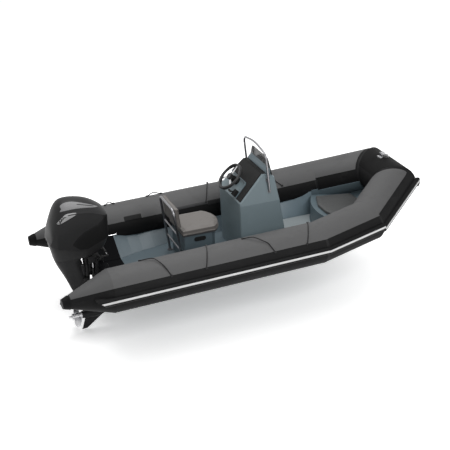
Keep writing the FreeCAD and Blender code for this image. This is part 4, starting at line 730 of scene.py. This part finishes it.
# Outlines seen from the side, as x and z in millimetres. The high leaf and the line that
# splits it are thrown on to the cowl down a slope, and the others level.
LEAF_LOW = ((-386, 901), (-334, 961), (-272, 1003), (-178, 1006), (-160, 998), (-175, 975),
            (-249, 943), (-330, 911))
LEAF_HIGH = ((-302, 1230), (-241, 1252), (-153, 1243), (-33, 1197), (95, 1144), (118, 1132),
             (71, 1124), (-50, 1136), (-180, 1144), (-306, 1139), (-332, 1143), (-311, 1172),
             (-315, 1206))
LEAF_SPLIT = ((-126, 1199), (-34, 1170), (63, 1141))
CREASE = ((-236, 612), (-229, 625), (-168, 693), (-88, 750), (-7, 786), (75, 815), (141, 869),
          (205, 915))
FLANK_REST = ((226, 890), (226, 700), (205, 652), (108, 602), (-60, 531), (-152, 535))
SHOULDER = ((-150, 992), (-60, 975), (56, 949), (190, 905))
SLOPE = 0.55
OUTSIDE = 0.36  # how far out from the middle the outlines are drawn
cowl_skin = surface("cowl")


def ribbon(points, width):
    """The outline of a narrow strip along an open line."""
    line = [Vector(point) for point in points]
    upper, lower = [], []
    for index, point in enumerate(line):
        along = (line[min(index + 1, len(line) - 1)] - line[max(index - 1, 0)]).normalized()
        out = Vector((-along.y, along.x)) * width / 2
        upper.append(point + out)
        lower.append(point - out)
    return upper + lower[::-1]


def rounded(points):
    """A closed outline with its corners drawn round."""
    return [point.xy for point in spline_points([(x, z, 0) for x, z in points], 5, True)]


def lay_on(whole, outline, side, slope, lift, thickness):
    """A thin inlay: its outline is thrown inwards on to the cowl and thickened there."""
    course = Vector((0, -side, -slope)).normalized()
    part = bmesh.new()
    out = part.verts.layers.float_vector.new("out")
    part.faces.new([part.verts.new((x / 1000, side * OUTSIDE, z / 1000)) for x, z in outline])
    cuts = [(Vector((1, 0, 0)), place) for place in steps(-0.5, 0.25, 0.02)]
    cuts += [(Vector((0, 0, 1)), place) for place in steps(0.5, 1.3, 0.02)]
    for normal, place in cuts:
        bmesh.ops.bisect_plane(part, geom=all_of(part), plane_co=normal * place, plane_no=normal)
    bmesh.ops.triangulate(part, faces=part.faces[:])
    for vertex in part.verts:
        hit, normal, _, _ = cowl_skin.ray_cast(vertex.co - course * 0.6, course)
        if hit is None:
            hit, normal, _, _ = cowl_skin.find_nearest(vertex.co)
        if normal.dot(course) > 0:
            normal = -normal
        vertex[out] = normal * (lift + SINK + (0 if vertex.is_boundary else thickness))
        vertex.co = hit - normal * SINK
    thicken(part, out)
    join_in(whole, part)


inlays, crowns, blacks, lines = bmesh.new(), bmesh.new(), bmesh.new(), bmesh.new()
for side in (-1, 1):
    lay_on(inlays, rounded(LEAF_LOW), side, 0, 0.0004, 0.0012)
    lay_on(crowns, rounded(LEAF_HIGH), side, SLOPE, 0.0004, 0.0012)
    lay_on(blacks, CREASE + FLANK_REST, side, 0, 0.0003, 0.0012)
    lay_on(lines, ribbon(LEAF_SPLIT, 10), side, SLOPE, 0.0018, 0.0008)
    lay_on(lines, ribbon(SHOULDER, 5), side, 0, 0.0003, 0.0012)
inlay_silver = painted("inlay_silver", (0.31, 0.31, 0.313), 0.5, 0.1)
# Painted shade: the high leaves on the cowl's top take a darker copy of the same silver.
crown_silver_shaded = painted("crown_silver_shaded", (0.165, 0.165, 0.168), 0.5, 0.1)
low_black = painted("low_black", (0.007, 0.007, 0.0072), 0.5, 0.05, 0.1)
fit("cowl_inlays", inlays, inlay_silver, "motor", 30)
fit("cowl_crown_inlays", crowns, crown_silver_shaded, "motor", 30)
fit("cowl_flank_panels", blacks, low_black, "motor", 30)
fit("cowl_lines", lines, seam_rubber, "motor", 30)

# Steering cylinder: it lies before the tilt tube on two bent arms, with a bright rod
# right through it, and tilts with the swivel bracket.
ROD_X, ROD_Z = 0.156, 0.398
BARREL = ((0, 0.014), (0.002, 0.02), (0.03, 0.02), (0.032, 0.0175),
          (0.178, 0.0175), (0.18, 0.02), (0.208, 0.02), (0.21, 0.014))
NUT = ((0, 0.016), (0.004, 0.018), (0.022, 0.018), (0.026, 0.012))
ARM = ((0.074, 0.165, 0.352), (0.073, 0.19, 0.37), (0.088, 0.2, 0.392), (0.15, 0.2, ROD_Z))
cylinder = bmesh.new()
lathe(cylinder, (ROD_X, -0.105, ROD_Z), (0, 1, 0), BARREL)
for side in (-1, 1):
    bend_tube(cylinder, spline_points([(x, side * y, z) for x, y, z in ARM], 6), 0.01)
    lathe(cylinder, (ROD_X, side * 0.188, ROD_Z), (0, side, 0), NUT, 6)
fit("steering_cylinder", cylinder, motor_black, "swivel")
rod = bmesh.new()
lathe(rod, (ROD_X, -0.19, ROD_Z), (0, 1, 0), ((0, 0.0075), (0.38, 0.0075)), 16)
fit("steering_rod", rod, bright_steel, "swivel")

# Clamp screws and bolts: the motor hangs on the transom by two screws with cross
# handles, and by domed bolts through the transom and the clamp bracket.
SCREW_Y, SCREW_Z = 0.121, 0.235
SCREW = ((0, 0.02), (0.006, 0.02), (0.007, 0.01), (0.04, 0.01),
         (0.041, 0.014), (0.056, 0.014), (0.058, 0.008))
THROUGH_BOLT = ((-0.001, 0.009), (0.003, 0.009), (0.0045, 0.0054))
BRACKET_BOLT = ((-0.001, 0.008), (0.003, 0.008), (0.0045, 0.0048))
screws, bolts = bmesh.new(), bmesh.new()
for side in (-1, 1):
    lathe(screws, (0.12, side * SCREW_Y, SCREW_Z), (1, 0, 0), SCREW)
    bar = [Vector((0.168, side * SCREW_Y + y, SCREW_Z)) for y in (-0.036, 0, 0.036)]
    bend_tube(screws, bar, 0.0055)
    for z in (0.06, 0.13, 0.22):
        lathe(bolts, (0.0585, side * 0.08, z), (-1, 0, 0), THROUGH_BOLT, 6)
    for y, z in ((0.106, 0.29), (0.106, 0.26), (0.136, 0.29), (0.136, 0.26)):
        lathe(bolts, (0.1218, side * y, z), (1, 0, 0), BRACKET_BOLT, 6)
fit("clamp_screws", screws, dash_black, "boat")
fit("bracket_bolts", bolts, bright_steel, "boat")

# Mount covers: the bulged housings of the lower mounts, one each side of the leg,
# cast in halves and bolted on. They turn with the leg.
# Each level: its height, its aft and fore ends, and its inner and outer sides, in mm.
MOUNT_LEVELS = ((128, -138, -106, 50, 55), (136, -154, -96, 46, 64), (180, -162, -90, 45, 70),
                (235, -168, -90, 46, 72), (266, -162, -96, 46, 68), (276, -144, -106, 50, 58))
CORNERS = 0.6  # 1 gives an oval, and less squares it
covers = bmesh.new()
for side in (-1, 1):
    part = bmesh.new()
    loops = []
    for z, aft, fore, inner, outer in MOUNT_LEVELS:
        middle = Vector(((aft + fore) / 2, side * (inner + outer) / 2, z)) / 1000
        size = Vector((fore - aft, outer - inner, 0, 2000)) / 2000
        shape = Matrix.Translation(middle) @ Matrix.Diagonal(size)
        ring = bmesh.ops.create_circle(part, radius=1, segments=16)["verts"]
        for vertex in ring:
            vertex.co = shape @ Vector([math.copysign(abs(way) ** CORNERS, way)
                                        for way in vertex.co])
        loops.append(list({edge for vertex in ring for edge in vertex.link_edges}))
    for before, after in zip(loops, loops[1:]):
        bmesh.ops.bridge_loops(part, edges=before + after)
    bmesh.ops.holes_fill(part, edges=part.edges[:])
    join_in(covers, part)
fit("mount_covers", covers, motor_black, "motor", 50)

# Seat: a moulded lid carries the cushion. Cushion, backrest and bow pad are sewn vinyl
# covers over foam, blown up a little as cloth with what they rest on held.
dress(moulded("seat_board", (0.05, 0.052, 0.055), 0.5), "seat_lid")
taupe_vinyl = vinyl("taupe_vinyl", (0.122, 0.112, 0.104))
pad_grey = vinyl("pad_grey", (0.05, 0.052, 0.052), 0.55, 420)
dress(taupe_vinyl, "seat_cushion", "backrest_pad")
dress(pad_grey, "bow_pad")


def apply_modifiers(obj):
    """Makes what the modifiers give the object's own mesh."""
    graph = bpy.context.evaluated_depsgraph_get()
    obj.data = bpy.data.meshes.new_from_object(obj.evaluated_get(graph))
    obj.modifiers.clear()


def stuffed(name, source, voxel, shrink, cap, held, material, pressure=4.0):
    """A sewn cover: a solid's skin, drawn in a little, meshed evenly and blown up.
    held(co) is true for the points that rest on something."""
    base = nodes[source]
    mesh = base.data.copy()
    mesh.transform(base.matrix_world)
    low = Vector([min(vertex.co[k] for vertex in mesh.vertices) for k in range(3)])
    high = Vector([max(vertex.co[k] for vertex in mesh.vertices) for k in range(3)])
    middle = (low + high) / 2
    drawn = [1 - 2 * shrink[k] / (high[k] - low[k]) for k in range(3)]
    for vertex in mesh.vertices:
        vertex.co = Vector([middle[k] + (vertex.co[k] - middle[k]) * drawn[k] for k in range(3)])
    obj = bpy.data.objects.new(name, mesh)
    scene.collection.objects.link(obj)
    bpy.context.view_layer.objects.active = obj
    remesh = obj.modifiers.new("remesh", "REMESH")
    remesh.mode = "VOXEL"
    remesh.voxel_size = voxel
    apply_modifiers(obj)
    soften = obj.modifiers.new("soften", "SMOOTH")
    soften.iterations = 4
    apply_modifiers(obj)
    rest = [vertex.co.copy() for vertex in obj.data.vertices]
    group = obj.vertex_groups.new(name="held")
    group.add([index for index, co in enumerate(rest) if held(co)], 1.0, "REPLACE")
    cloth = obj.modifiers.new("cloth", "CLOTH")
    settings = cloth.settings
    settings.quality = 5
    settings.mass = 0.3
    settings.use_pressure = True
    settings.uniform_pressure_force = pressure
    settings.vertex_group_mass = "held"
    settings.effector_weights.gravity = 0
    settings.tension_stiffness = 15
    settings.compression_stiffness = 15
    settings.bending_stiffness = 0.5
    cloth.collision_settings.use_collision = False
    for frame_number in range(1, 21):
        scene.frame_set(frame_number)
    graph = bpy.context.evaluated_depsgraph_get()
    blown = obj.evaluated_get(graph).to_mesh()
    for index, vertex in enumerate(blown.vertices):
        shift = vertex.co - rest[index]
        if shift.length > cap:
            shift *= cap / shift.length
        obj.data.vertices[index].co = rest[index] + shift
    obj.modifiers.clear()
    obj.vertex_groups.clear()
    scene.frame_set(1)
    subdivision = obj.modifiers.new("smooth", "SUBSURF")
    subdivision.levels = subdivision.render_levels = 1
    for polygon in obj.data.polygons:
        polygon.use_smooth = True
    obj.data.materials.clear()
    obj.data.materials.append(material)
    return obj


def seam_line(obj, centre, level, axes, spread):
    """Points round a soft piece at one level, a hair outside its skin."""
    count, reach, clear = 120, 1.6, 0.0008
    tree = BVHTree.FromPolygons([vertex.co for vertex in obj.data.vertices],
                                [tuple(polygon.vertices) for polygon in obj.data.polygons])
    target = centre + level
    points = []
    for step in range(count):
        turn = math.tau * step / count
        out = axes[0] * math.cos(turn) * spread[0] + axes[1] * math.sin(turn) * spread[1]
        hit, normal, _, _ = tree.ray_cast(target + out * reach, -out.normalized())
        if hit is None:
            hit, normal, _, _ = tree.find_nearest(target + out)
        points.append(hit + normal * clear)
    return points


cushion = stuffed("seat_cushion_cover", "seat_cushion", 0.0065, (0.004, 0.004, 0.004), 0.009,
                  lambda co: co.z < 0.476, taupe_vinyl)
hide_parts("seat_cushion")
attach(cushion, "seat_top")
backrest = stuffed("backrest_cover", "backrest_pad", 0.0065, (0.004, 0.003, 0.003), 0.008,
                   lambda co: False, taupe_vinyl, 3.0)
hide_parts("backrest_pad")
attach(backrest, "boat")
pad = stuffed("bow_pad_cover", "bow_pad", 0.007, (0.003, 0.003, 0.003), 0.006,
              lambda co: co.z < 0.336, pad_grey, 3.0)
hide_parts("bow_pad")
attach(pad, "boat")

# Piping: a round vinyl cord sewn into the seams, round the top and the foot of the
# cushion and round both faces of the backrest.
PIPING_RADIUS = 0.0028
piping = vinyl("piping", (0.07, 0.065, 0.06), 0.5, 900, 0.05)


def pipe(name, seam, body):
    """The cord along one seam."""
    cord = bmesh.new()
    bend_tube(cord, seam, PIPING_RADIUS, 8, True)
    fit(name, cord, piping, body)


low, high = (Vector(corner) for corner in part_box("seat_cushion"))
flat = (Vector((1, 0, 0)), Vector((0, 1, 0)))
rise = (high.z - low.z) / 2 - 0.012
for label, level in (("top", rise), ("foot", -rise)):
    seam = seam_line(cushion, (low + high) / 2, Vector((0, 0, level)), flat, (0.26, 0.26))
    pipe("cushion_piping_" + label, seam, "seat_top")
low, high = (Vector(corner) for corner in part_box("backrest_pad"))
lean, ahead = Vector((-0.11, 0, 1)).normalized(), Vector((1, 0, 0.11)).normalized()
upright = (Vector((0, 1, 0)), lean)
for label, level in (("fore", 0.019), ("aft", -0.019)):
    seam = seam_line(backrest, (low + high) / 2, ahead * level, upright, (0.24, 0.135))
    pipe("backrest_piping_" + label, seam, "boat")
